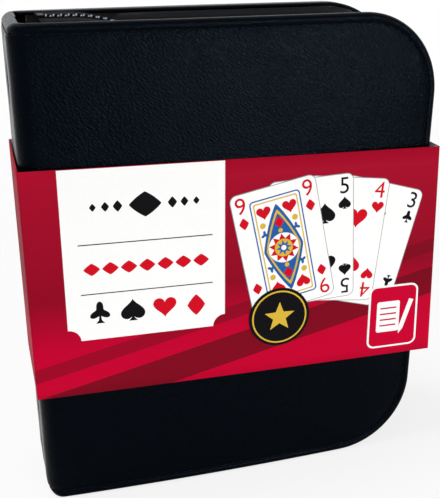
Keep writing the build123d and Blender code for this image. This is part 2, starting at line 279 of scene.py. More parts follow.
class Nodes:
    """A node tree being made."""

    def __init__(self, tree):
        self.tree = tree

    def node(self, kind, settings=None, output=0, **values):
        """Adds a node: its settings first, then the values or links of its sockets."""
        node = self.tree.nodes.new(kind)
        for name, value in (settings or {}).items():
            if name == "stops":
                set_stops(node.color_ramp, value)
            else:
                setattr(node, name, value)
        for name, value in values.items():
            join(value, find(node.inputs, name))
        return Wire(self.tree, find(node.outputs, output))

    def ray(self, kind):
        """1 for light rays of a kind, such as Camera, and 0 for the others."""
        return self.node("ShaderNodeLightPath", output="Is " + kind + " Ray")


class Finish(Nodes):
    """A material being made: its nodes, its shader and its coordinates."""

    def __init__(self, name, **constants):
        self.material = bpy.data.materials.new(name)
        self.material.use_nodes = True
        super().__init__(self.material.node_tree)
        self.shader = self.tree.nodes["Principled BSDF"]
        for socket, value in constants.items():
            self.shader.inputs[socket.replace("_", " ")].default_value = value

    def place(self):
        """Place on the object, in metres."""
        return self.node("ShaderNodeTexCoord", output="Object")

    def axis(self, name, vector=None):
        """One part of a vector, by its letter."""
        return self.node("ShaderNodeSeparateXYZ", output=name, Vector=vector or self.place())

    def facing(self, name):
        """One part of the surface's own direction."""
        normal = self.node("ShaderNodeNewGeometry", output="True Normal")
        return self.axis(name, normal)

    def noise(self, scale, detail=2.0, roughness=0.5, vector=None):
        """Soft noise, with its scale in features per metre."""
        values = {"Vector": vector or self.place(), "Scale": scale}
        return self.node(
            "ShaderNodeTexNoise", output="Fac", Detail=detail, Roughness=roughness, **values
        )

    def cells(self, scale, feature="F1", vector=None):
        """Distances in a pattern of cells, with its scale in cells per metre."""
        values = {"Vector": vector or self.place(), "Scale": scale}
        return self.node(
            "ShaderNodeTexVoronoi", {"feature": feature}, output="Distance", **values
        )

    def stretched(self, scale, turn=(0.0, 0.0, 0.0)):
        """Turned coordinates, for a pattern that is drawn out along its own axes."""
        settings = {"vector_type": "TEXTURE"}
        values = {"Vector": self.place(), "Scale": scale, "Rotation": turn}
        return self.node("ShaderNodeMapping", settings, **values)

    def mix(self, factor, first, second):
        """A colour between two, by a factor."""
        settings = {"data_type": "RGBA", "clamp_factor": True}
        values = {"Factor_Float": factor, "A_Color": first, "B_Color": second}
        return self.node("ShaderNodeMix", settings, output="Result_Color", **values)

    def ramp(self, factor, stops):
        """A colour from a ramp's stops, by a factor."""
        return self.node("ShaderNodeValToRGB", {"stops": stops}, output="Color", Fac=factor)

    def blend(self, factor, first, second):
        """A shader between two, by a factor."""
        values = {"Fac": factor, "Shader": first, "Shader_001": second}
        return self.node("ShaderNodeMixShader", **values)

    def colour(self, value):
        """Sets or links the base colour."""
        join(value, self.shader.inputs["Base Color"])

    def shade(self, factor, tint, low, high=1.0):
        """The base colour as one tint, between two levels of it by a factor."""
        self.colour(self.mix(factor, dimmed(tint, low), dimmed(tint, high)))

    def roughness(self, value):
        """Sets or links the roughness."""
        join(value, self.shader.inputs["Roughness"])

    def bump(self, height, distance, strength=1.0):
        """Relief: the height runs from 0 to 1 over a real distance."""
        values = {"Height": height, "Distance": distance, "Strength": strength}
        self.node("ShaderNodeBump", **values).feed(self.shader.inputs["Normal"])


def set_stops(ramp, stops):
    """The stops of a colour ramp, from its lowest."""
    while len(ramp.elements) > 1:
        ramp.elements.remove(ramp.elements[-1])
    for number, (place, value) in enumerate(stops):
        stop = ramp.elements[0] if number == 0 else ramp.elements.new(place)
        stop.position = place
        stop.color = value


# The leather's slanting creases: how long they are drawn, and their slant in degrees
CREASE_STRETCH = 2.4
CREASE_TURN = -48


def grained_leather():
    """Pebbled leatherette with fine pores, slanting creases and a soft semi-gloss."""
    grain = sizes("leather_sizes").grain
    sheen = (0.5, 0.74, 1, 1)
    finish = Finish("grained_leather", Specular_IOR_Level=0.038, Specular_Tint=sheen)
    drift = finish.noise(1 / (6 * grain), 3.0)
    slant = finish.stretched((1.0, 1.0, CREASE_STRETCH), (0.0, math.radians(CREASE_TURN), 0.0))
    pebbles = finish.cells(1 / grain, "DISTANCE_TO_EDGE", slant)
    creases = finish.noise(0.55 / grain, 3.0, 0.6, slant)
    fine = finish.cells(2.3 / grain, "DISTANCE_TO_EDGE")
    pores = finish.noise(5 / grain, 4.0, 0.7)
    furrow = (pebbles * 3.2).clamped()
    relief = furrow * 0.5 + (fine * 3).clamped() * 0.2 + pores * 0.14 + creases * 0.7
    finish.bump(relief, 0.085 * MM, 1.0)
    finish.shade(furrow * 0.6 + drift * 0.5, sizes("case_colours").leather, 0.55)
    finish.roughness(0.225 - furrow * 0.07 + drift * 0.05)
    return finish.material


def twisted_thread():
    """Sewing thread with its twist."""
    finish = Finish("twisted_thread", Specular_IOR_Level=0.08)
    strand = (finish.axis("X") + finish.axis("Z") * 0.8).wave(0.5 * MM)
    finish.shade(strand, sizes("case_colours").thread, 0.5)
    finish.roughness(0.62 - strand * 0.15)
    finish.bump(strand, 0.06 * MM)
    return finish.material


def woven_cloth(name, tint, pitch, sheen=0.3):
    """Plain weave: threads that pass over and under across the surface."""
    finish = Finish(name, Specular_IOR_Level=0.25, Sheen_Weight=sheen)
    warp = (finish.axis("X") + finish.axis("Y") * 0.5).wave(pitch)
    weft = (finish.axis("Z") + finish.axis("Y") * 0.5).wave(pitch)
    over = warp * weft + (1 - warp) * (1 - weft)
    slub = finish.noise(0.12 / pitch, 3.0)
    finish.shade(over * 0.6 + slub * 0.5, tint, 0.5)
    finish.roughness(0.85 - over * 0.15)
    finish.bump(over * 0.8 + slub * 0.2, 0.09 * MM)
    return finish.material


def zip_tape():
    """Woven tape with ribs along it and a corded edge."""
    finish = Finish("zip_tape_weave", Specular_IOR_Level=0.03)
    along = finish.axis("X") + finish.axis("Z")
    across = finish.axis("Y")
    rib = across.wave(0.55 * MM)
    chevron = (along + across.wave(1.1 * MM) * (0.5 * MM)).wave(0.7 * MM)
    weave = rib * 0.55 + chevron * 0.45
    wear = finish.noise(900.0, 3.0)
    finish.shade(weave * 0.8 + wear * 0.3, sizes("case_colours").zip, 0.45)
    finish.roughness(0.8 - weave * 0.15)
    finish.bump(weave, 0.1 * MM)
    return finish.material


def coil_nylon():
    """Glossy nylon monofilament."""
    finish = Finish("coil_nylon", Metallic=0.85)
    streak = finish.noise(2600.0, 2.0)
    finish.shade(streak, sizes("case_colours").zip, 24, 60)
    finish.roughness(0.14 + streak * 0.1)
    finish.bump(streak, 0.02 * MM, 0.4)
    return finish.material


def enamelled_metal(name, tint, metallic, coat=0.4):
    """Cast metal under thin enamel, with fine pitting and a blotchy tone."""
    finish = Finish(
        name, Metallic=metallic, Specular_IOR_Level=coat, Coat_Weight=coat, Coat_Roughness=0.12
    )
    pits = finish.noise(3200.0, 4.0, 0.7)
    blotch = finish.noise(420.0, 3.0)
    finish.shade(blotch, tint, 0.75, 1.3)
    finish.roughness(0.24 + pits * 0.16)
    finish.bump(pits, 0.03 * MM, 0.5)
    return finish.material


def moulded_plastic():
    """Vacuum-formed tray with a fine matt spark texture."""
    finish = Finish("moulded_tray_plastic", Specular_IOR_Level=0.4)
    spark = finish.cells(2400.0)
    cloud = finish.noise(160.0, 3.0)
    finish.shade(cloud, sizes("case_colours").tray, 0.85, 1.15)
    finish.roughness(0.46 + spark * 0.16)
    finish.bump(spark, 0.03 * MM, 0.6)
    return finish.material


def open_foam():
    """Pale foam with open cells."""
    finish = Finish("open_cell_foam", Specular_IOR_Level=0.2)
    pores = finish.cells(1400.0)
    finish.colour(finish.mix(pores, opaque(tone(150, 150, 142)), opaque(tone(205, 204, 196))))
    finish.roughness(0.95 - pores * 0.1)
    finish.bump(pores, 0.3 * MM)
    return finish.material


def grey_board(name, tint):
    """Pressed board with flecks and short fibres."""
    finish = Finish(name, Specular_IOR_Level=0.25)
    fibres = finish.noise(700.0, 5.0, 0.65, finish.stretched((3.0, 1.0, 1.0)))
    flecks = finish.cells(900.0)
    finish.shade(fibres * 0.7 + flecks * 0.4, tint, 0.7)
    finish.roughness(0.88 - fibres * 0.12)
    finish.bump(fibres, 0.08 * MM)
    return finish.material


def playing_cards():
    """Stacked cards: a lattice print on the faces and each card's cut edge at the sides."""
    tints = sizes("case_colours")
    finish = Finish("playing_card_stack", Coat_Weight=0.15, Coat_Roughness=0.25)
    face = finish.facing("Y").size() > 0.7
    lean = finish.axis("X") + finish.axis("Z")
    rise = finish.axis("X") - finish.axis("Z")
    lattice_pitch = 3.2 * MM
    first = (lean.repeat(lattice_pitch) - 0.5).size() < 0.12
    second = (rise.repeat(lattice_pitch) - 0.5).size() < 0.12
    lattice = (first + second).clamped()
    back = finish.mix(lattice, opaque(tints.back_blue), opaque(tints.paper))
    card_edge = finish.axis("Y").wave(0.3 * MM)
    fibre = finish.noise(1500.0, 3.0)
    shade = card_edge * 0.75 + fibre * 0.3
    side = finish.mix(shade, opaque(tone(168, 166, 160)), opaque(tints.paper))
    finish.colour(finish.mix(face, side, back))
    finish.roughness(0.55 - face * 0.2)
    finish.bump(card_edge * (1 - face), 0.08 * MM)
    return finish.material


def pad_sheets():
    """Writing sheets: ruled score columns on the faces and page edges at the sides."""
    finish = Finish("score_pad_paper", Specular_IOR_Level=0.3)
    face = finish.facing("Y").size() > 0.7
    rows = (finish.axis("Z").repeat(6 * MM) - 0.5).size() < 0.03
    columns = (finish.axis("X").repeat(16.8 * MM) - 0.5).size() < 0.011
    ruled = (rows + columns).clamped() * face
    pages = finish.axis("Y").wave(0.13 * MM) * (1 - face)
    fibre = finish.noise(2100.0, 4.0)
    white = finish.mix(fibre, opaque(tone(230, 229, 224)), opaque(tone(245, 245, 242)))
    edged = finish.mix(pages * 0.5, white, opaque(tone(190, 188, 182)))
    finish.colour(finish.mix(ruled, edged, opaque(tone(120, 150, 190))))
    finish.roughness(0.78 - fibre * 0.1)
    finish.bump(pages + fibre * 0.15, 0.04 * MM)
    return finish.material


def pencil_paint():
    """Lacquered cedar pencil: paint on the flats and bare wood on the sharpened cone."""
    lacquer = sizes("case_colours").pencil
    finish = Finish("lacquered_cedar", Coat_Weight=0.5, Coat_Roughness=0.1)
    bare = finish.facing("Z").size() > 0.04
    rings = finish.noise(900.0, 3.0, 0.6, finish.stretched((1.0, 1.0, 8.0)))
    wood = finish.mix(rings, opaque(tone(150, 96, 58)), opaque(tone(212, 164, 116)))
    paint = finish.mix(finish.noise(500.0), dimmed(lacquer, 0.8), opaque(lacquer))
    finish.colour(finish.mix(bare, paint, wood))
    finish.roughness(0.22 + bare * 0.4 + rings * 0.05)
    finish.bump(rings * bare, 0.05 * MM)
    return finish.material


def pencil_core():
    """Graphite with a faint metal shine and sharpening rings."""
    finish = Finish("graphite_core", Metallic=0.35)
    rings = finish.axis("Z").wave(0.25 * MM)
    specks = finish.noise(4000.0, 3.0)
    finish.colour(finish.mix(specks, opaque(tone(38, 38, 42)), opaque(tone(74, 74, 80))))
    finish.roughness(0.42 + rings * 0.12)
    finish.bump(rings, 0.02 * MM)
    return finish.material


def ribbed_elastic():
    """Knitted elastic with ribs round the loop."""
    finish = Finish("ribbed_elastic", Specular_IOR_Level=0.25, Sheen_Weight=0.3)
    ribs = finish.axis("Z").wave(0.8 * MM)
    knit = (finish.axis("X") + finish.axis("Y")).wave(0.5 * MM)
    finish.shade(ribs * 0.7 + knit * 0.3, sizes("case_colours").lining, 0.4)
    finish.roughness(0.82 - ribs * 0.1)
    finish.bump(ribs * 0.8 + knit * 0.2, 0.12 * MM)
    return finish.material


def band_red():
    """Coated paper printed red: a slow fall of tone and slanting darker stripes."""
    tints = sizes("case_colours")
    finish = Finish("printed_band_red", Specular_IOR_Level=0.015)
    height = (finish.axis("Z") - BAND_BOTTOM) / (BAND_TOP - BAND_BOTTOM)
    slope = finish.axis("Z") - finish.axis("X") * 0.22
    ends = [
        (0.0, opaque(tints.band_bright)),
        (0.24, dimmed(tints.band_bright, 0.92)),
        (0.46, dimmed(tints.band, 0.7)),
        (1.0, opaque(tints.band)),
    ]
    ground = finish.ramp(height, ends)
    stripe_low = (slope - 46 * MM).size() < 4.6 * MM
    stripe_high = (slope - 58 * MM).size() < 2.2 * MM
    stripes = (stripe_low * 0.85 + stripe_high * 0.55).clamped()
    printed = finish.mix(stripes, ground, opaque(tints.band_deep))
    mottle = finish.noise(1300.0, 2.0)
    finish.colour(finish.mix(mottle * 0.08, printed, opaque(tints.band_deep)))
    finish.roughness(0.42 + mottle * 0.08)
    finish.bump(mottle, 0.015 * MM, 0.4)
    return finish.material


def bare_paper():
    """Uncoated white paper, as on the band's inside."""
    finish = Finish("bare_band_paper", Specular_IOR_Level=0.3)
    fibre = finish.noise(1800.0, 5.0, 0.65)
    finish.shade(fibre, sizes("case_colours").paper, 0.86)
    finish.roughness(0.75 - fibre * 0.1)
    finish.bump(fibre, 0.02 * MM)
    return finish.material


def printed_ink(name, tint):
    """One printed colour on coated paper."""
    finish = Finish(name, Specular_IOR_Level=0.015)
    mottle = finish.noise(1500.0, 2.0)
    finish.shade(mottle, tint, 0.95)
    finish.roughness(0.38 + mottle * 0.08)
    return finish.material


def once(name, maker):
    """A material by its name, made where it isn't there yet."""
    return bpy.data.materials.get(name) or maker()


def link_piece(name, bm, materials, nodes=(), body=None, smooth=True):
    """A finished piece from its mesh: materials, replaced nodes and its body."""
    mesh = bpy.data.meshes.new(name)
    bm.to_mesh(mesh)
    bm.free()
    for material in materials:
        mesh.materials.append(material)
    if smooth:
        mesh.polygons.foreach_set("use_smooth", [True] * len(mesh.polygons))
    piece = bpy.data.objects.new(name, mesh)
    bpy.context.scene.collection.objects.link(piece)
    if nodes:
        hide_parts(*nodes)
    if body:
        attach(piece, body)
    return piece


def dress(nodes, material):
    """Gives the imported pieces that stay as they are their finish."""
    for name in nodes:
        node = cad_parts[name]
        if not node.material_slots:
            node.data.materials.append(material)
        for slot in node.material_slots:
            slot.material = material


def whole(bm):
    """All the geometry of a mesh, as its cutting operators take it."""
    return bm.verts[:] + bm.edges[:] + bm.faces[:]


def cut(bm, place, direction, clear_inner=False):
    """Cuts a mesh along a plane, and clears what lies behind the plane where it is asked to."""
    bmesh.ops.bisect_plane(
        bm, geom=whole(bm), dist=1e-7, plane_co=place, plane_no=direction, clear_inner=clear_inner
    )


def crown_height(x):
    """Distance of the cover's crowned face from the middle plane."""
    return CROWN_Y - CROWN_RADIUS + math.sqrt(CROWN_RADIUS ** 2 - (x - MIDDLE_X) ** 2)


def skin_base(run):
    """Place in plan and outward direction at a distance along the skin from the spine's middle."""
    if run <= SPINE_FLAT:
        return SPINE_X, -run, -1.0, 0.0
    if run >= COVER_START:
        x = CORNER_X + run - COVER_START
        return x, -crown_height(x), 0.0, -1.0
    turn = (run - SPINE_FLAT) / SPINE_ROUND
    across = math.cos(turn)
    out = math.sin(turn)
    return CORNER_X - SPINE_ROUND * across, -SPINE_FLAT - SPINE_ROUND * out, -across, -out


def spine_share(run):
    """How much of the spine there is at a distance along the skin: 1 on it, 0 on the cover."""
    share = min(max((run - SPINE_FLAT) / CORNER_RUN, 0.0), 1.0)
    return 1 - share * share * (3 - 2 * share)


def rounding(inside, radius, drop):
    """How far a rounded edge lies under the face at a distance from the outside."""
    part = 1 - inside / radius
    return drop * (1 - math.sqrt(max(1 - max(part, 0.0) ** 2, 0.0)))


def edge_distance(run, height):
    """Distance from the outer edge of the skin's flat pattern, and the way inwards."""
    across = run - (PATTERN_WIDTH - FORE_RADIUS)
    up = height - CASE_HEIGHT / 2
    beyond = abs(up) - (CASE_HEIGHT / 2 - FORE_RADIUS)
    side = -1.0 if up > 0 else 1.0
    if across > 0 and beyond > 0:
        reach = math.hypot(across, beyond)
        return FORE_RADIUS - reach, -across / reach, side * beyond / reach
    if CASE_HEIGHT / 2 - abs(up) <= PATTERN_WIDTH - run:
        return CASE_HEIGHT / 2 - abs(up), 0.0, side
    return PATTERN_WIDTH - run, -1.0, 0.0


def skin_thickness(run):
    """Whole thickness of cover or spine at a distance along the skin."""
    share = spine_share(run)
    cover = crown_height(max(skin_base(run)[0], CORNER_X)) - INNER_Y
    return (SPINE_INNER_X - SPINE_X) * share + cover * (1 - share)


def rim_depth(run):
    """How far the outermost line of the rolled edge lies under the face."""
    share = spine_share(run)
    return SPINE_TOP_RADIUS * share + sizes("leather_sizes").roll_height * (1 - share)


# Soft wrinkles over the field, and the puckers that the seam draws beside it
WRINKLE_WIDTH = 11 * MM
WRINKLE_HEIGHT = 15 * MM
WRINKLE_START = 6 * MM
PUCKER_PITCH = 3.1 * MM
PUCKER_INSIDE = 1.4 * MM
PUCKER_REACH = 1.6 * MM


def crest_and_groove():
    """Distances from the edge to the highest line of the roll and to the sewn groove."""
    shape = sizes("leather_sizes")
    return shape.roll_width * CREST_SHARE, shape.roll_width + shape.groove_width / 2


def skin_depth(run, height, seed):
    """How far the skin lies under the crowned face: rolled edge, groove, padding, wrinkles."""
    shape = sizes("leather_sizes")
    inside = edge_distance(run, height)[0]
    crest, groove = crest_and_groove()
    if inside < crest:
        depth = rounding(inside, crest, shape.roll_height)
    elif inside < groove:
        part = (inside - crest) / (groove - crest)
        depth = shape.groove_depth * part ** 3
    else:
        part = (inside - groove) / shape.groove_width
        padding = shape.puff * math.exp(-(inside - groove) / shape.puff_reach)
        depth = padding + (shape.groove_depth - shape.puff) * math.exp(-4 * part ** 2)
    share = spine_share(run)
    radius = SPINE_TOP_RADIUS if height > CASE_HEIGHT / 2 else SPINE_FOOT_RADIUS
    turned_edge = rounding(inside, radius, SPINE_TOP_RADIUS)
    sunk = shape.groove_depth * math.exp(-((inside - groove) / (shape.groove_width / 2)) ** 2)
    depth += (turned_edge + 0.6 * sunk - depth) * share
    place = Vector((run / WRINKLE_WIDTH, seed, height / WRINKLE_HEIGHT))
    soft = noise.fractal(place, 0.9, 2.1, 3)
    settle = min(inside / WRINKLE_START, 1.0)
    depth += shape.wrinkle * soft * settle
    drawn = noise.noise(Vector((run / PUCKER_PITCH, seed + 7.0, height / PUCKER_PITCH)))
    near = math.exp(-((inside - groove - PUCKER_INSIDE) / PUCKER_REACH) ** 2)
    depth += shape.pucker * drawn * near
    return depth


def skin_point(run, depth, height, side):
    """Real place of a point of the flat pattern, under the face by a depth."""
    x, y, out_x, out_y = skin_base(max(run, 0.0))
    x -= out_x * depth
    y -= out_y * depth
    return Vector((x, -side * y, height))


def cut_rows(bm, axis, low, high, pitch):
    """Cuts the pattern into rows across one axis."""
    direction = Vector((1, 0, 0)) if axis == 0 else Vector((0, 0, 1))
    count = round((high - low) / pitch)
    for number in range(1, count):
        cut(bm, direction * (low + (high - low) * number / count), direction)


# Rows of the hem: how far each is turned inwards, and its share of the way to the lining
SLOPING_HEM = [(0.15 * MM, 0.35), (0.6 * MM, 0.8), (0.85 * MM, 0.96), (1.05 * MM, 1.0)]
UPRIGHT_HEM = [(0.0, 0.35), (0.0, 0.8), (0.3 * MM, 0.96), (1.0 * MM, 1.0)]


def skin_pattern(pitch):
    """The skin's flat pattern: rings along its edge, a net of cuts inside, and its hem."""
    shape = sizes("leather_sizes")
    bm = bmesh.new()
    corners = [
        (-LEATHER_OVERRUN, 0), (PATTERN_WIDTH, 0),
        (PATTERN_WIDTH, CASE_HEIGHT), (-LEATHER_OVERRUN, CASE_HEIGHT),
    ]
    verts = [bm.verts.new((run, 0, height)) for run, height in corners]
    bm.faces.new(verts)
    bmesh.ops.bevel(
        bm, geom=verts[1:3], offset=FORE_RADIUS, segments=CORNER_STEPS, profile=0.5,
        affect="VERTICES", material=-1,
    )
    field = bm.faces[:][0]
    crest, groove = crest_and_groove()
    rings = [crest * part for part in (0.08, 0.3, 0.62, 1.0)]
    rings += [shape.roll_width * 0.8, shape.roll_width, groove - shape.groove_width / 4, groove]
    rings += [groove + shape.groove_width * part for part in (0.25, 0.5, 0.85, 1.4, 2.2, 3.2)]
    reached = 0.0
    for ring in rings:
        bmesh.ops.inset_region(
            bm, faces=[field], thickness=ring - reached, use_even_offset=True, use_boundary=True
        )
        reached = ring
    cut(bm, (0, 0, 0), (1, 0, 0), clear_inner=True)
    corner_pitch = CORNER_RUN / 8
    cut_rows(bm, 0, 0, SPINE_FLAT, pitch)
    cut_rows(bm, 0, SPINE_FLAT, COVER_START, corner_pitch)
    cut_rows(bm, 0, COVER_START, PATTERN_WIDTH, pitch)
    for place in (SPINE_FLAT, COVER_START):
        cut(bm, (place, 0, 0), (1, 0, 0))
    cut_rows(bm, 2, 0, CASE_HEIGHT, pitch)
    return bm


def hem(bm, rows):
    """Turns the pattern's outer edge over the side and onto the lining; returns the depths."""
    edges = [edge for edge in bm.edges if edge.is_boundary]
    edges = [edge for edge in edges if max(vert.co.x for vert in edge.verts) > SMALLEST]
    depths = {}
    inwards = 0.0
    for turn_in, share in rows:
        made = bmesh.ops.extrude_edge_only(bm, edges=edges)["geom"]
        fresh = {part for part in made if isinstance(part, bmesh.types.BMVert)}
        edges = [part for part in made if isinstance(part, bmesh.types.BMEdge)]
        edges = [edge for edge in edges if edge.is_boundary and fresh.issuperset(edge.verts)]
        for vert in fresh:
            run, height = vert.co.x, vert.co.z
            _, in_run, in_height = edge_distance(run, height)
            vert.co.x += in_run * (turn_in - inwards)
            vert.co.z += in_height * (turn_in - inwards)
            rim = rim_depth(run)
            depths[vert] = rim + share * (skin_thickness(run) - rim)
        edges = [edge for edge in edges if sum(abs(v.co.x) for v in edge.verts) > SMALLEST]
        inwards = turn_in
    return depths


def cover_leather(name, side, nodes):
    """One cover's skin, turned round its edges and round half of the spine."""
    shape = sizes("leather_sizes")
    bm = skin_pattern(LEATHER_NET)
    depths = hem(bm, SLOPING_HEM if side < 0 else UPRIGHT_HEM)
    for vert in bm.verts:
        run, height = vert.co.x, vert.co.z
        depth = depths.get(vert)
        if depth is None:
            depth = skin_depth(run, height, 3.0 * side)
        vert.co = skin_point(run, depth, height, side)
    bm.normal_update()
    bmesh.ops.recalc_face_normals(bm, faces=bm.faces[:])
    centre = Vector((MIDDLE_X, side * CROWN_Y, CASE_HEIGHT / 2))
    middle = min(bm.faces, key=lambda face: (face.calc_center_median() - centre).length)
    if middle.normal.y * side < 0:
        bmesh.ops.reverse_faces(bm, faces=bm.faces[:])
    bmesh.ops.solidify(bm, geom=bm.faces[:], thickness=shape.thickness)
    if bm.calc_volume(signed=True) < 0:
        bmesh.ops.reverse_faces(bm, faces=bm.faces[:])
    sharpen_spine_cut(bm)
    skin = once("grained_leather", grained_leather)
    return link_piece(name, bm, [skin], nodes)


def sharpen_spine_cut(bm):
    """Marks the cut at the middle of the spine as sharp, so each skin shades smoothly up to it."""
    for face in bm.faces:
        if all(abs(vert.co.y) < SMALLEST for vert in face.verts):
            for edge in face.edges:
                edge.smooth = False


def bend_over_spine(piece, side):
    """Bakes the piece's place into its mesh; it does the same for either side."""
    if side < 0:
        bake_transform(piece)
    else:
        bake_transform(piece)


def seam_line(inside):
    """Straights and arcs of the seam on the flat pattern: start, turn and length of each."""
    radius = FORE_RADIUS - inside
    straight = PATTERN_WIDTH - FORE_RADIUS
    upright = CASE_HEIGHT - 2 * FORE_RADIUS
    return radius, straight, upright, 2 * straight + math.pi * radius + upright


def seam_point(inside, travel):
    """Place and direction on the seam, from the spine's foot round to its top."""
    radius, straight, upright, _ = seam_line(inside)
    quarter = math.pi / 2 * radius
    if travel < straight:
        return travel, inside, 0.0
    travel -= straight
    if travel < quarter:
        turn = travel / radius
        return straight + radius * math.sin(turn), FORE_RADIUS - radius * math.cos(turn), turn
    travel -= quarter
    if travel < upright:
        return PATTERN_WIDTH - inside, FORE_RADIUS + travel, math.pi / 2
    travel -= upright
    if travel < quarter:
        turn = travel / radius
        height = CASE_HEIGHT - FORE_RADIUS + radius * math.sin(turn)
        return straight + radius * math.cos(turn), height, math.pi / 2 + turn
    travel -= quarter
    return straight - travel, CASE_HEIGHT - inside, math.pi


def stitching(name, side):
    """The seam's stitches, each a short rounded length of thread in the groove."""
    shape = sizes("leather_sizes")
    inside = crest_and_groove()[1]
    total = seam_line(inside)[3]
    count = int(total / shape.stitch_pitch)
    bm = bmesh.new()
    for number in range(count):
        run, height, turn = seam_point(inside, (number + 0.5) * total / count)
        made = bmesh.ops.create_icosphere(bm, subdivisions=1, radius=0.5)["verts"]
        grow = Matrix.Diagonal((shape.stitch, shape.thread, shape.thread, 1))
        tilt = Matrix.Rotation(-turn - math.radians(5), 4, "Y")
        bmesh.ops.transform(bm, matrix=tilt @ grow, verts=made)
        for vert in made:
            sunk = skin_depth(run, height, 3.0 * side) - shape.thread * 0.3
            place = (run + vert.co.x, sunk + vert.co.y, height + vert.co.z)
            vert.co = skin_point(*place, side)
    bmesh.ops.recalc_face_normals(bm, faces=bm.faces[:])
    return link_piece(name, bm, [once("twisted_thread", twisted_thread)])


def panel_inside(place, low, high, radius):
    """Distance of a place from the edge of a panel with two rounded fore corners."""
    half = (high.z - low.z) / 2
    up = abs(place.z - (low.z + high.z) / 2) - (half - radius)
    across = place.x - (high.x - radius)
    if across > 0 and up > 0:
        return radius - math.hypot(across, up)
    return min(high.x - place.x, radius - up)


def soft_piece(name, node, body, material, net, draw):
    """A soft piece in its packed place: cut into a net, then drawn in along its own directions."""
    low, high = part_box(node)
    bm = bmesh.new()
    bm.from_mesh(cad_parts[node].data)
    bmesh.ops.remove_doubles(bm, verts=bm.verts[:], dist=1e-7)
    for axis, pitch in net.items():
        for number in range(1, round((high[axis] - low[axis]) / pitch)):
            place = Vector()
            place[axis] = low[axis] + number * pitch
            cut(bm, place, Vector((axis == 0, axis == 1, axis == 2)))
    bm.normal_update()
    shifts = {vert: vert.normal * -draw(vert.co, low, high) for vert in bm.verts}
    for vert, shift in shifts.items():
        vert.co += shift
    bmesh.ops.triangulate(bm, faces=bm.faces[:])
    piece = link_piece(name, bm, [material], [node], body, smooth=False)
    piece.data.shade_smooth()
    piece.data.set_sharp_from_angle(angle=math.radians(50))
    return piece


def ripple(place, pitch, seed):
    """A soft unevenness from 0 to 1."""
    return 0.5 + 0.5 * noise.fractal(place / pitch + Vector((seed, 0, seed)), 1.0, 2.0, 2)


def lining_draw(place, low, high):
    """Lining cloth over its board: eased at the edge and slightly uneven."""
    if high.y - low.y > high.x - low.x:
        inside = min(high.z - place.z, place.z - low.z, high.y - abs(place.y))
    else:
        inside = panel_inside(place, low, high, FORE_RADIUS)
    inside = max(inside, 0.0)
    eased = 0.12 * MM * math.exp(-inside / (2 * MM))
    return 0.05 * MM + 0.14 * MM * ripple(place, 14 * MM, 2) + eased


def foam_draw(place, low, high):
    """Foam pad: soft round edges and open cells."""
    inside = max(panel_inside(place, low, high, FORE_RADIUS), 0.0)
    return 0.1 * MM * ripple(place, 5 * MM, 5) + 0.3 * MM * math.exp(-inside / (1.5 * MM))


def sheet_over(name, body, cloth, corners):
    """A lining sheet over its board, cut into a 3 mm net across the covers' width or the spine's
    depth.
    """
    node = body + "_lining"
    net = {0: 3 * MM, 2: 3 * MM} if corners else {1: 3 * MM, 2: 3 * MM}
    piece = soft_piece(name, node, body, cloth, net, lining_draw)
    return piece


def pocket_draw(place, low, high):
    """Pocket cloth: its top edge has a turned hem, and its middle is slack."""
    below = high.z - place.z
    hem_line = math.exp(-((below - 5 * MM) / (0.7 * MM)) ** 2)
    return 0.04 * MM + 0.1 * MM * ripple(place, 9 * MM, 8) + 0.06 * MM * hem_line


def elastic_draw(place, low, high):
    """Ribs round the elastic loop."""
    return 0.09 * MM * (0.5 + 0.5 * math.cos(2 * math.pi * (place.z - low.z) / (1.6 * MM)))


def tape_draw(place, low, high):
    """Ribs along the woven tape, and a slight wander."""
    rib = 0.5 + 0.5 * math.cos(2 * math.pi * place.y / (1.2 * MM))
    return 0.06 * MM * rib + 0.08 * MM * ripple(place, 7 * MM, 11)


def coil_loop():
    """One turn of the coil, lying across the chain with its head at the middle."""
    bm = bmesh.new()
    filament = 0.27 * MM
    radius = 0.55 * MM
    ring = bmesh.ops.create_circle(bm, segments=5, radius=filament)["verts"]
    bmesh.ops.translate(bm, verts=ring, vec=(0, radius, 0))
    bmesh.ops.spin(
        bm, geom=whole(bm), cent=(0, 0, 0), axis=(1, 0, 0), angle=2 * math.pi, steps=10,
        use_merge=True,
    )
    return bm


def tooth_places(node):
    """Centre and direction of each tooth of a packed row, in order of its mesh."""
    bm = bmesh.new()
    bm.from_mesh(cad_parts[node].data)
    bmesh.ops.remove_doubles(bm, verts=bm.verts[:], dist=1e-7)
    seen = set()
    places = []
    for start in bm.verts:
        if start in seen:
            continue
        group = [start]
        seen.add(start)
        for vert in group:
            for edge in vert.link_edges:
                other = edge.other_vert(vert)
                if other not in seen:
                    seen.add(other)
                    group.append(other)
        centre = sum((vert.co for vert in group), Vector()) / len(group)
        spread_x = sum((vert.co.x - centre.x) ** 2 for vert in group)
        spread_z = sum((vert.co.z - centre.z) ** 2 for vert in group)
        both = sum((vert.co.x - centre.x) * (vert.co.z - centre.z) for vert in group)
        places.append((centre, 0.5 * math.atan2(2 * both, spread_x - spread_z)))
    bm.free()
    return places


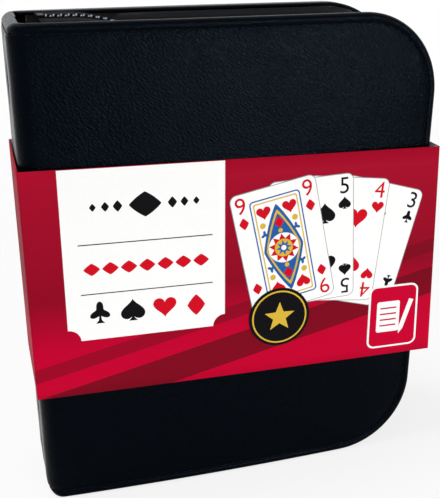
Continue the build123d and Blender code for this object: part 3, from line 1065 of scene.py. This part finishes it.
def coil_row(name, node, body):
    """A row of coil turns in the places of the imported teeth."""
    low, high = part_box(node)
    side = 1 if high.y > 0 and low.y > 0 else -1
    tip = min(abs(low.y), abs(high.y))
    root = max(abs(low.y), abs(high.y))
    template = coil_loop()
    reach = (root - tip) / 2
    lowest = min(vert.co.y for vert in template.verts)
    bmesh.ops.scale(template, vec=(1, reach / abs(lowest), 1), verts=template.verts[:])
    for vert in template.verts:
        vert.co.x += vert.co.z * 0.3
    mesh = bpy.data.meshes.new("coil_turn")
    template.to_mesh(mesh)
    template.free()
    bm = bmesh.new()
    middle = side * (tip + root) / 2
    for centre, turn in tooth_places(node):
        before = len(bm.verts)
        bm.from_mesh(mesh)
        bm.verts.ensure_lookup_table()
        move = Matrix.Translation((centre.x, middle, centre.z))
        upright = Matrix.Rotation(math.pi / 2 - turn, 4, "Y")
        bmesh.ops.transform(bm, matrix=move @ upright, verts=bm.verts[before:])
    bpy.data.meshes.remove(mesh)
    bmesh.ops.recalc_face_normals(bm, faces=bm.faces[:])
    material = once("coil_nylon", coil_nylon)
    return link_piece(name, bm, [material], [node], body)


def band_sheet(path, rows):
    """A sheet of paper: its path in plan, drawn up to the band's height."""
    bm = bmesh.new()
    line = [bm.verts.new((x, y, BAND_BOTTOM)) for x, y in path]
    edges = [bm.edges.new(pair) for pair in zip(line, line[1:])]
    rise = (BAND_TOP - BAND_BOTTOM) / rows
    for _ in range(rows):
        made = bmesh.ops.extrude_edge_only(bm, edges=edges)["geom"]
        lifted = [part for part in made if isinstance(part, bmesh.types.BMVert)]
        bmesh.ops.translate(bm, verts=lifted, vec=(0, 0, rise))
        edges = [
            part for part in made
            if isinstance(part, bmesh.types.BMEdge) and set(part.verts) <= set(lifted)
        ]
    return bm


def band_offset(x, z):
    """How far the loose band is shifted by its skew and lean at a place, in X and Z."""
    shape = sizes("band_sizes")
    across = x / BAND_HIGH.x
    up = (z - (BAND_BOTTOM + BAND_TOP) / 2) / ((BAND_TOP - BAND_BOTTOM) / 2)
    lean = -shape.lean * up * max(across, 0.0) ** 3
    return lean + 0.3 * MM * max(across, 0.0) ** 3, -shape.skew * across


def band_place(x, y, z):
    """Real place of a point of the band from its place on the straight band."""
    shift_x, shift_z = band_offset(x, z)
    outward = sizes("band_sizes").bow * max(1 - (x / BAND_HIGH.x) ** 2, 0.0)
    if abs(y) > -BAND_LOW.y / 2:
        y += math.copysign(outward, y)
    return Vector((x + shift_x, y, z + shift_z))


def paper_panel(name, path, node, body, outward):
    """A panel of the band: printed outside and at its cut edges, bare paper inside."""
    shape = sizes("band_sizes")
    bm = band_sheet(path, BAND_ROWS)
    for vert in bm.verts:
        vert.co = band_place(*vert.co)
    bm.normal_update()
    middle = bm.faces[:][len(bm.faces) // 2]
    if middle.normal.dot(outward) < 0:
        bmesh.ops.reverse_faces(bm, faces=bm.faces[:])
    bmesh.ops.solidify(bm, geom=bm.faces[:], thickness=shape.paper)
    if bm.calc_volume(signed=True) < 0:
        bmesh.ops.reverse_faces(bm, faces=bm.faces[:])
    bm.normal_update()
    for face in bm.faces:
        face.smooth = True
        cut_edge = abs(face.normal.z) > 0.5
        shown = cut_edge or outward_side(face.calc_center_median(), face.normal)
        face.material_index = 0 if shown else 1
    for edge in bm.edges:
        linked = edge.link_faces
        if len(linked) == 2 and linked[0].material_index != linked[1].material_index:
            edge.smooth = False
    material = once("printed_band_red", band_red)
    plain = once("bare_band_paper", bare_paper)
    return link_piece(name, bm, [material, plain], [node], body, smooth=False)


def outward_side(centre, normal):
    """Whether a face of the band looks away from the case."""
    return Vector((centre.x, centre.y * 3, 0)).dot(normal) > 0


def corner_path(x_side, y_side, turn_low, turn_high, steps=6):
    """A rounded crease in plan, between two angles of its arc."""
    radius = sizes("band_sizes").crease
    centre_x = x_side * (BAND_HIGH.x - radius)
    centre_y = y_side * (-BAND_LOW.y - radius)
    path = []
    for step in range(steps + 1):
        turn = math.radians(turn_low + (turn_high - turn_low) * step / steps)
        path.append((centre_x + radius * math.cos(turn), centre_y + radius * math.sin(turn)))
    return path


def straight_path(start, end, steps):
    """Points between two places, without the ends."""
    return [
        (
            start[0] + (end[0] - start[0]) * step / steps,
            start[1] + (end[1] - start[1]) * step / steps,
        )
        for step in range(1, steps)
    ]


def ink_shape(bm, outlines, lift):
    """A printed shape on the band's front, from outlines in millimetres that may share edges."""
    step = sizes("band_sizes").ink
    face_y = BAND_LOW.y
    earlier = set(bm.faces)
    fresh = []
    for outline in outlines:
        fresh += [bm.verts.new((x * MM, face_y - lift * step, z * MM)) for x, z in outline]
        bm.faces.new(fresh[-len(outline):])
    bmesh.ops.remove_doubles(bm, verts=fresh, dist=1e-7)
    faces = [face for face in bm.faces if face not in earlier]
    made = bmesh.ops.extrude_face_region(bm, geom=faces)["geom"]
    back = [part for part in made if isinstance(part, bmesh.types.BMVert)]
    bmesh.ops.translate(bm, verts=back, vec=(0, (lift + 0.7) * step, 0))


def numeral(digit, height, degrees, x, z):
    """A plain numeral as outlines, turned and moved to its place."""
    data = bpy.data.curves.new("numeral", "FONT")
    data.body = digit
    data.align_x = "CENTER"
    data.align_y = "CENTER"
    data.resolution_u = 4
    text = bpy.data.objects.new("numeral", data)
    mesh = bpy.data.meshes.new_from_object(text)
    outlines = []
    for face in mesh.polygons:
        corners = [mesh.vertices[number].co for number in face.vertices]
        outlines.append(turned([(c.x, c.y) for c in corners], degrees, x, z, height / 0.7))
    bpy.data.objects.remove(text)
    bpy.data.curves.remove(data)
    bpy.data.meshes.remove(mesh)
    return outlines


def ink_piece(name, shapes, material):
    """One printed colour: all its shapes, each an outline with its layer."""
    bm = bmesh.new()
    for outline, lift in shapes:
        several = isinstance(outline[0], list)
        ink_shape(bm, outline if several else [outline], lift)
    for column in range(-PRINT_COLUMNS, PRINT_COLUMNS + 1):
        cut(bm, (column * PRINT_COLUMN_WIDTH, 0, 0), (1, 0, 0))
    for vert in bm.verts:
        vert.co = band_place(*vert.co)
    bmesh.ops.recalc_face_normals(bm, faces=bm.faces[:])
    return link_piece(name, bm, [material], (), "band_front", smooth=False)


def turned(points, degrees, x, z, scale=1.0):
    """An outline scaled, turned clockwise and moved to its place."""
    cosine = math.cos(math.radians(-degrees))
    sine = math.sin(math.radians(-degrees))
    return [
        (x + scale * (px * cosine - pz * sine), z + scale * (px * sine + pz * cosine))
        for px, pz in points
    ]


def rectangle(width, height):
    """An upright rectangle."""
    return [
        (-width / 2, -height / 2), (width / 2, -height / 2),
        (width / 2, height / 2), (-width / 2, height / 2),
    ]


def rounded(width, height, radius, steps=6):
    """A rectangle with rounded corners; a negative radius gives hollow corners."""
    points = []
    size = abs(radius)
    for corner in range(4):
        side_x = 1 if corner in (0, 3) else -1
        side_z = 1 if corner in (0, 1) else -1
        for step in range(steps + 1):
            turn = math.radians(90 * corner + 90 * step / steps)
            if radius > 0:
                x = side_x * (width / 2 - size) + size * math.cos(turn)
                z = side_z * (height / 2 - size) + size * math.sin(turn)
            else:
                turn = math.radians(90 * corner + 270 - 90 * step / steps)
                x = side_x * width / 2 + size * math.cos(turn)
                z = side_z * height / 2 + size * math.sin(turn)
            points.append((x, z))
    return points


def disc(radius, steps=40):
    """A round outline."""
    turns = [2 * math.pi * step / steps for step in range(steps)]
    return [(radius * math.cos(turn), radius * math.sin(turn)) for turn in turns]


def star(outer, inner, points=5):
    """A star with a point at its top."""
    outline = []
    for step in range(2 * points):
        reach = outer if step % 2 == 0 else inner
        turn = math.pi / 2 + math.pi * step / points
        outline.append((reach * math.cos(turn), reach * math.sin(turn)))
    return outline


def heart(steps=36):
    """A heart one unit high."""
    outline = []
    for step in range(steps):
        turn = 2 * math.pi * step / steps
        x = 16 * math.sin(turn) ** 3
        z = 13 * math.cos(turn) - 5 * math.cos(2 * turn) - 2 * math.cos(3 * turn)
        z -= math.cos(4 * turn)
        outline.append((x / 29, (z + 2.5) / 29))
    return outline


def trefoil(steps=48):
    """The three leaves of a club, one unit across."""
    outline = []
    for step in range(steps):
        turn = 2 * math.pi * step / steps
        reach = 0.33 + 0.15 * math.cos(3 * (turn - math.pi / 2)) - 0.02 * math.cos(6 * turn)
        outline.append((reach * math.cos(turn), reach * math.sin(turn) + 0.06))
    return outline


def stem():
    """Flared foot of a spade or club."""
    half = [(0.2, -0.5), (0.07, -0.36), (0.03, -0.05)]
    return [(-0.2, -0.5)] + half + [(-x, z) for x, z in reversed(half[1:])]


def lozenge(steps=6):
    """A diamond with hollow sides, one unit high."""
    outline = []
    for corner in range(4):
        for step in range(steps):
            turn = math.pi / 2 * (corner + step / steps)
            x = math.copysign(abs(math.cos(turn)) ** 1.7, math.cos(turn))
            z = math.copysign(abs(math.sin(turn)) ** 1.7, math.sin(turn))
            outline.append((0.4 * x, 0.5 * z))
    return outline


def suit(kind, x, z, size, degrees, lift):
    """The shapes of one suit mark at its place: its outline and, on black suits, its stem."""
    if kind == "heart":
        return [(turned(heart(), degrees, x, z, size), lift)]
    if kind == "diamond":
        return [(turned(lozenge(), degrees, x, z, size), lift)]
    if kind == "spade":
        leaf = [(px, -pz + 0.08) for px, pz in heart()]
    else:
        leaf = trefoil()
    return [
        (turned(leaf, degrees, x, z, size), lift),
        (turned(stem(), degrees, x, z, size), lift - 0.3),
    ]


# Print on the band's front, in millimetres from the case's middle and from its foot
PANEL_LEFT = -51.9
PANEL_RIGHT = -5.9
PANEL_FOOT = 53.4
PANEL_HALF = 28.0
TITLE_MIDDLE = -28.6
RULE_HEIGHTS = (82.4, 67.6)
ORNAMENT_HEIGHT = 93.0
SCROLL_HEIGHT = 75.0
TITLE_SUITS = [
    ("club", -42.6, 61.6, 6.4),
    ("spade", -33.2, 61.4, 6.4),
    ("heart", -23.9, 61.2, 6.2),
    ("diamond", -14.6, 61.0, 6.6),
]
SEAL_PLACE = (11.2, 54.0)
BADGE_PLACE = (48.8, 49.6)
CARD_SIZE = (26.0, 39.0)
CARD_CORNER = 2.0
CARD_RIM = 0.2
CARD_NUMERAL = (10.3, 15.8)
CARD_MARK = (10.3, 10.6)
FAN_CARDS = [
    ("diamond", 9, 12.0, 76.5, -12.0),
    ("spade", 5, 21.0, 77.6, -3.0),
    ("heart", 4, 30.2, 77.0, 6.0),
    ("club", 3, 39.2, 75.0, 15.0),
]
PIP_PLACES = {
    3: [(0, 11), (0, 0), (0, -11)],
    4: [(-4, 7), (4, 7), (-4, -7), (4, -7)],
    5: [(-4, 8), (4, 8), (0, 0), (-4, -8), (4, -8)],
}


def fan_shapes():
    """The fanned cards as shapes for each ink, from the right card to the left one on top."""
    inks = {name: [] for name in ("white", "rim", "red", "black", "blue", "gold")}
    width, height = CARD_SIZE
    for number, (kind, count, x, z, degrees) in enumerate(reversed(FAN_CARDS)):
        lift = 2 + 3 * number
        rim = rounded(width + 2 * CARD_RIM, height + 2 * CARD_RIM, CARD_CORNER + CARD_RIM)
        inks["rim"].append((turned(rim, degrees, x, z), lift))
        card = rounded(width, height, CARD_CORNER)
        inks["white"].append((turned(card, degrees, x, z), lift + 1))
        ink = inks["red" if kind in ("heart", "diamond") else "black"]
        for corner_x, corner_z in ((-1, 1), (1, 1), (-1, -1), (1, -1)):
            flip = 0 if corner_z > 0 else 180
            places = [
                (corner_x * across, corner_z * up) for across, up in (CARD_NUMERAL, CARD_MARK)
            ]
            digit_place, mark_place = turned(places, degrees, x, z)
            ink.append((numeral(str(count), 5.0, degrees + flip, *digit_place), lift + 2))
            ink += suit(kind, *mark_place, 3.6, degrees + flip, lift + 2)
        for px, pz in PIP_PLACES.get(count, []):
            place = turned([(px, pz)], degrees, x, z)[0]
            ink += suit(kind, *place, 6.0, degrees + (0 if pz >= 0 else 180), lift + 2)
    ornament(inks, FAN_CARDS[0][2:], lift + 2)
    return inks


def ornament(inks, place, lift):
    """Filled ornament of the top card: a framed rosette with leaves, the same both ways up."""
    x, z, degrees = place

    def put(ink, outline, layer, px=0.0, pz=0.0, turn=0.0, scale=1.0):
        """Adds an outline, turned and scaled on the card, in one ink and layer."""
        own = turned(outline, turn, px, pz, scale)
        inks[ink].append((turned(own, degrees, x, z), lift + layer))

    put("blue", rounded(15.6, 33.0, 1.2), 0)
    put("white", rounded(14.8, 32.2, 0.9), 0.4)
    put("gold", rounded(13.6, 31.0, 0.7), 0.8)
    put("white", rounded(12.8, 30.2, 0.5), 1.2)
    slim = [(0.55 * px, pz) for px, pz in lozenge()]
    put("blue", slim, 1.6, scale=28.0)
    put("gold", slim, 2.0, scale=24.5)
    put("blue", slim, 2.4, scale=22.0)
    for flip in (0, 180):
        side = 1 if flip == 0 else -1
        for hand in (-1, 1):
            put("red", heart(), 1.6, 4.0 * hand, 12.0 * side, flip, 4.0)
            put("gold", disc(0.9, 16), 1.6, 5.0 * hand, 8.4 * side)
            put("blue", trefoil(), 1.6, 4.9 * hand, 5.4 * side, flip, 2.6)
        put("red", lozenge(), 2.8, 0, 8.2 * side, 0, 3.4)
        put("gold", disc(0.7, 16), 2.8, 0, 5.6 * side)
    put("white", disc(4.7), 2.8)
    put("red", star(4.6, 3.0, 10), 3.2)
    put("gold", disc(2.8), 3.6)
    put("blue", star(2.5, 1.2, 8), 4.0)
    put("white", disc(0.8, 16), 4.4)


def title_shapes():
    """White panel with hollow lower corners, two rules, ornaments and the four suits."""
    height = 2 * PANEL_HALF
    corners = [(x, z) for x, z in rounded(PANEL_RIGHT - PANEL_LEFT, height, -3.6) if z < 0]
    middle = (PANEL_LEFT + PANEL_RIGHT) / 2
    top = BAND_TOP / MM - 0.15
    panel = [(PANEL_LEFT, top)]
    panel += [(middle + x, PANEL_FOOT + PANEL_HALF + z) for x, z in corners]
    panel += [(PANEL_RIGHT, top)]
    marks = {"white": [(panel, 1)], "rules": [], "black": [], "red": []}
    for z in RULE_HEIGHTS:
        marks["rules"].append((turned(rectangle(38.0, 0.3), 0, TITLE_MIDDLE, z), 2))
    for kind, x, z, size in TITLE_SUITS:
        marks["black" if kind in ("club", "spade") else "red"] += suit(kind, x, z, size, 0, 2)
    large = turned(lozenge(), 90, TITLE_MIDDLE, ORNAMENT_HEIGHT, 9.0)
    marks["black"].append((large, 2))
    for side in (-1, 1):
        for number in range(3):
            x = TITLE_MIDDLE + side * (7.6 + 3.4 * number)
            small = turned(lozenge(), 0, x, ORNAMENT_HEIGHT, 3.2 - 0.5 * number)
            marks["black"].append((small, 2))
    for number in range(-3, 4):
        mark = turned(lozenge(), 90, TITLE_MIDDLE + 5.2 * number, SCROLL_HEIGHT, 4.6)
        marks["red"].append((mark, 2))
    return marks


def seal_shapes():
    """Round seal over the fan's lower left: two discs, a gold ring and a star."""
    return {
        "black": [(turned(disc(9.6), 0, *SEAL_PLACE), 19), (turned(disc(8.2), 0, *SEAL_PLACE), 21)],
        "gold": [
            (turned(disc(8.7), 0, *SEAL_PLACE), 20), (turned(star(5.0, 2.1), 0, *SEAL_PLACE), 22)
        ],
    }


def badge_shapes():
    """Upright badge with a notepad and a pencil."""
    x, z = BADGE_PLACE
    frame_outline = turned(rounded(16.4, 21.6, 2.4), 0, x, z)
    ground = turned(rounded(15.2, 20.4, 1.9), 0, x, z)
    pad = turned(rounded(7.6, 10.6, 0.7), 0, x - 1.6, z)
    pencil = turned(rectangle(1.5, 10.4), 18, x + 4.4, z + 0.4)
    point = turned([(-0.75, 0), (0.75, 0), (0, -2.0)], 18, x + 2.8, z - 4.5)
    lines = [turned(rectangle(5.4, 0.5), 0, x - 1.6, z + 3.0 - 2.0 * n) for n in range(4)]
    return {
        "white": [(frame_outline, 16), (pad, 18), (pencil, 18), (point, 18)],
        "red": [(ground, 17)] + [(line, 19) for line in lines],
    }


class CASE_OT_leather(bpy.types.Operator):
    """Covers and spine in grained leather, with rolled and sewn edges"""

    bl_idname = "card_case.leather"
    bl_label = "Leather covers"

    def execute(self, context):
        front = cover_leather("leather_front", -1, ["front_cover_skin", "spine_skin"])
        back = cover_leather("leather_back", 1, ["back_cover_skin", "spine_skin"])
        bend_over_spine(front, -1)
        bend_over_spine(back, 1)
        bend_over_spine(stitching("stitching_front", -1), -1)
        bend_over_spine(stitching("stitching_back", 1), 1)
        return {"FINISHED"}


class CASE_OT_stiffening(bpy.types.Operator):
    """Foam, boards and lining inside the covers"""

    bl_idname = "card_case.stiffening"
    bl_label = "Foam, boards and lining"

    def execute(self, context):
        tints = sizes("case_colours")
        board = grey_board("cover_board", tone(150, 142, 128))
        dress(["front_cover_board", "back_cover_board", "spine_board"], board)
        cloth = woven_cloth("lining_weave", tints.lining, 0.55 * MM)
        foam = open_foam()
        for side in ("front", "back"):
            cover = side + "_cover"
            pad = soft_piece(
                side + "_padding", cover + "_foam", cover, foam, {0: 4 * MM, 2: 4 * MM},
                foam_draw,
            )
            sheet_over(side + "_lining_cloth", cover, cloth, 2)
        sheet_over("spine_lining_cloth", "spine", cloth, 0)
        soft_piece(
            "pocket_cloth", "notepad_pocket", "front_cover", cloth,
            {0: 3 * MM, 2: 1 * MM}, pocket_draw,
        )
        return {"FINISHED"}


class CASE_OT_zip(bpy.types.Operator):
    """Zip: coil rows, tapes, end stops, slider and pull tab"""

    bl_idname = "card_case.zip"
    bl_label = "Zip"

    def execute(self, context):
        tints = sizes("case_colours")
        coil_row("coil_front", "zip_teeth_front", "front_cover")
        coil_row("coil_back", "zip_teeth_back", "back_cover")
        weave = zip_tape()
        for side in ("front", "back"):
            soft_piece(
                "tape_" + side, "zip_tape_" + side, side + "_cover", weave,
                {0: 4 * MM, 1: 0.6 * MM, 2: 4 * MM}, tape_draw,
            )
        enamel = enamelled_metal("black_enamel", tints.metal, 0.6)
        dress(["slider_body", "slider_bail", "pull_tab"], enamel)
        crimped = enamelled_metal("crimped_stops", tone(12, 12, 14), 0.0, coat=0.02)
        dress(["zip_stops_front", "zip_stops_back"], crimped)
        return {"FINISHED"}


class CASE_OT_contents(bpy.types.Operator):
    """Tray, decks, notepad, pencil and its loop"""

    bl_idname = "card_case.contents"
    bl_label = "Contents"

    def execute(self, context):
        tints = sizes("case_colours")
        dress(["card_tray"], moulded_plastic())
        dress(["card_deck_lower", "card_deck_upper"], playing_cards())
        dress(["notepad_sheets"], pad_sheets())
        dress(["notepad_backing"], grey_board("pad_backing_board", tone(176, 168, 150)))
        dress(["notepad_binding"], woven_cloth("binding_cloth", tints.band, 0.4 * MM, 0.1))
        dress(["pencil_barrel"], pencil_paint())
        dress(["pencil_lead"], pencil_core())
        soft_piece(
            "elastic_loop", "pencil_loop", "front_cover", ribbed_elastic(),
            {2: 0.4 * MM}, elastic_draw,
        )
        return {"FINISHED"}


class CASE_OT_band(bpy.types.Operator):
    """Paper band: its five creased panels"""

    bl_idname = "card_case.band"
    bl_label = "Paper band"

    def execute(self, context):
        x_side = BAND_HIGH.x
        y_side = -BAND_LOW.y
        radius = sizes("band_sizes").crease
        front = corner_path(-1, -1, 180, 270)
        ends = [(-x_side + radius, -y_side), (x_side - radius, -y_side)]
        front += straight_path(*ends, BAND_COLUMNS)
        front += corner_path(1, -1, 270, 360)
        paper_panel("band_front", front, "band_front_panel", "band_front", Vector((0, -1, 0)))
        back = [(x, -y) for x, y in front]
        paper_panel("band_back", back, "band_back_panel", "band_back", Vector((0, 1, 0)))
        upright = [(0.0, -y_side + radius), (0.0, y_side - radius)]
        sides = [upright[0]] + straight_path(*upright, 10) + [upright[1]]
        spine = [(-x_side, y) for _, y in sides]
        paper_panel("band_spine", spine, "band_spine_panel", "band_spine", Vector((-1, 0, 0)))
        fore = [(x_side, y) for _, y in sides]
        paper_panel("band_fore_edge", fore, "band_fore_edge_panel", "band_front", Vector((1, 0, 0)))
        low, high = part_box("band_glue_flap")
        ends = [(high.x, low.y), (high.x, high.y - radius)]
        flap = [ends[0]] + straight_path(*ends, 4) + [ends[1]]
        paper_panel("band_flap", flap, "band_glue_flap", "band_back", Vector((1, 0, 0)))
        return {"FINISHED"}


class CASE_OT_print(bpy.types.Operator):
    """Print on the band: title panel, suits, fanned cards, seal and pictogram"""

    bl_idname = "card_case.print"
    bl_label = "Band print"

    def execute(self, context):
        tints = sizes("case_colours")
        inks = {
            "white": tints.paper,
            "black": tints.ink_black,
            "red": tints.ink_red,
            "gold": tints.gold,
            "grey": tone(150, 148, 150),
            "blue": tone(38, 92, 160),
            "bright_red": tints.band_bright,
        }
        paints = {name: printed_ink("print_" + name, tint) for name, tint in inks.items()}
        fan, title, seal, badge = fan_shapes(), title_shapes(), seal_shapes(), badge_shapes()
        pieces = [
            ("print_panel", "white", title["white"]),
            ("print_fan_cards", "white", fan["white"]),
            ("print_fan_rims", "grey", fan["rim"]),
            ("print_fan_blue", "blue", fan["blue"]),
            ("print_fan_gold", "gold", fan["gold"]),
            ("print_rules", "black", title["rules"]),
            ("print_black_marks", "black", title["black"] + fan["black"]),
            ("print_red_marks", "red", title["red"] + fan["red"]),
            ("print_seal", "black", seal["black"]),
            ("print_seal_gold", "gold", seal["gold"]),
            ("print_badge_white", "white", badge["white"]),
            ("print_badge_red", "bright_red", badge["red"]),
        ]
        for name, ink, shapes in pieces:
            ink_piece(name, shapes, paints[ink])
        return {"FINISHED"}


# Stage: floor and lamps in metres and watts, and the photograph's height and lens in pixels
FLOOR_RADIUS = 1.6
FADE_START = 0.22
FADE_WIDTH = 0.4
FLOOR_GLOW = 0.8
WORLD_LEVEL = 0.42
LAMPS = {
    "key_light": ((-0.55, -0.8, 0.8), (0.4, 0.4), 1.2),
    "top_light": ((-0.3, 0.02, 1.0), (0.4, 0.4), 5.0),
    "front_light": ((0.45, -1.05, 0.06), (0.5, 0.07), 6.2),
}
PICTURE_HEIGHT = 498
FOCAL_PIXELS = 843.07
CAMERA_PLACE = (-69.9 * MM, -233.1 * MM, 167.7 * MM)
CAMERA_DOWN = 21.90
CAMERA_TURN = -16.33


class CASE_OT_stage(bpy.types.Operator):
    """Pale floor, soft light and the camera"""

    bl_idname = "card_case.stage"
    bl_label = "Stage"

    def execute(self, context):
        scene = context.scene
        scene.view_settings.view_transform = "Standard"
        make_floor()
        make_world(scene)
        for name, (place, size, power) in LAMPS.items():
            make_lamp(name, place, size, power)
        make_camera(scene)
        return {"FINISHED"}


def make_floor():
    """Round white floor that fades out into the white surroundings."""
    bm = bmesh.new()
    bmesh.ops.create_circle(bm, cap_ends=True, segments=96, radius=FLOOR_RADIUS)
    mesh = bpy.data.meshes.new("floor")
    bm.to_mesh(mesh)
    bm.free()
    floor = bpy.data.objects.new("floor", mesh)
    bpy.context.scene.collection.objects.link(floor)
    finish = Finish("white_floor", Roughness=0.9, Specular_IOR_Level=0.1)
    finish.colour((0.98, 0.98, 0.98, 1))
    x, y = finish.axis("X"), finish.axis("Y")
    fade = (((x * x + y * y).root() - FADE_START) / FADE_WIDTH).clamped()
    white = finish.node("ShaderNodeEmission", Strength=1.0)
    clear = finish.node("ShaderNodeBsdfTransparent")
    lit = Wire(finish.tree, finish.shader.outputs[0])
    bright = finish.blend(finish.ray("Camera") * FLOOR_GLOW, lit, white)
    output = finish.tree.nodes["Material Output"].inputs["Surface"]
    finish.blend(fade, bright, clear).feed(output)
    mesh.materials.append(finish.material)


def make_world(scene):
    """Even surroundings: white where the camera or a reflection sees them, plain as light."""
    world = bpy.data.worlds.new("studio")
    world.use_nodes = True
    world.node_tree.nodes.clear()
    nodes = Nodes(world.node_tree)
    seen = nodes.ray("Camera").or_wire(nodes.ray("Transmission").or_wire(nodes.ray("Glossy")))
    level = seen * (1 - WORLD_LEVEL) + WORLD_LEVEL
    light = nodes.node("ShaderNodeBackground", Color=(1, 1, 1, 1), Strength=level)
    output = world.node_tree.nodes.new("ShaderNodeOutputWorld")
    light.feed(output.inputs["Surface"])
    scene.world = world


def make_lamp(name, place, size, power):
    """A soft lamp of a given width and height that faces the case."""
    data = bpy.data.lights.new(name, "AREA")
    data.shape = "RECTANGLE"
    data.size, data.size_y = size
    data.energy = power
    lamp = bpy.data.objects.new(name, data)
    bpy.context.scene.collection.objects.link(lamp)
    lamp.location = place
    aim = Vector((0, 0, CASE_HEIGHT / 2)) - Vector(place)
    lamp.rotation_euler = aim.to_track_quat("-Z", "Y").to_euler()


def make_camera(scene):
    """The camera at the photograph's viewing angle."""
    data = bpy.data.cameras.new("camera")
    camera = bpy.data.objects.new("camera", data)
    scene.collection.objects.link(camera)
    data.sensor_width = 36
    data.lens = FOCAL_PIXELS * data.sensor_width / PICTURE_HEIGHT
    data.shift_x = -0.003
    data.shift_y = 0.001
    camera.location = CAMERA_PLACE
    camera.rotation_euler = (math.radians(90 - CAMERA_DOWN), 0, math.radians(CAMERA_TURN))
    data.clip_start = 0.01
    scene.camera = camera


class CASE_PT_panel(bpy.types.Panel):
    """Shows the case's sizes and colours, and a button for each step of dressing it"""

    bl_label = "Rummy card case"
    bl_idname = "CASE_PT_panel"
    bl_space_type = "VIEW_3D"
    bl_region_type = "UI"
    bl_category = "Card case"

    def draw(self, context):
        for group in PROPERTY_NAMES:
            box = self.layout.box()
            values = getattr(context.scene, group)
            for name in values.__annotations__:
                box.prop(values, name)
        for operator in OPERATORS:
            self.layout.operator(operator.bl_idname)


PROPERTY_NAMES = {
    "leather_sizes": LeatherSizes,
    "band_sizes": BandSizes,
    "case_colours": CaseColours,
}
OPERATORS = (
    CASE_OT_leather,
    CASE_OT_stiffening,
    CASE_OT_zip,
    CASE_OT_contents,
    CASE_OT_band,
    CASE_OT_print,
    CASE_OT_stage,
)


def register():
    """Registers the properties, the operators and the panel."""
    for name, group in PROPERTY_NAMES.items():
        bpy.utils.register_class(group)
        setattr(bpy.types.Scene, name, bpy.props.PointerProperty(type=group))
    for operator in OPERATORS:
        bpy.utils.register_class(operator)
    bpy.utils.register_class(CASE_PT_panel)


def unregister():
    """Takes away what register added."""
    bpy.utils.unregister_class(CASE_PT_panel)
    for operator in reversed(OPERATORS):
        bpy.utils.unregister_class(operator)
    for name, group in PROPERTY_NAMES.items():
        delattr(bpy.types.Scene, name)
        bpy.utils.unregister_class(group)


def main():
    """Dresses the case piece by piece."""
    register()
    bpy.ops.card_case.leather()
    bpy.ops.card_case.stiffening()
    bpy.ops.card_case.zip()
    bpy.ops.card_case.contents()
    bpy.ops.card_case.band()
    bpy.ops.card_case.print()
    bpy.ops.card_case.stage()


if __name__ == "__main__":
    main()
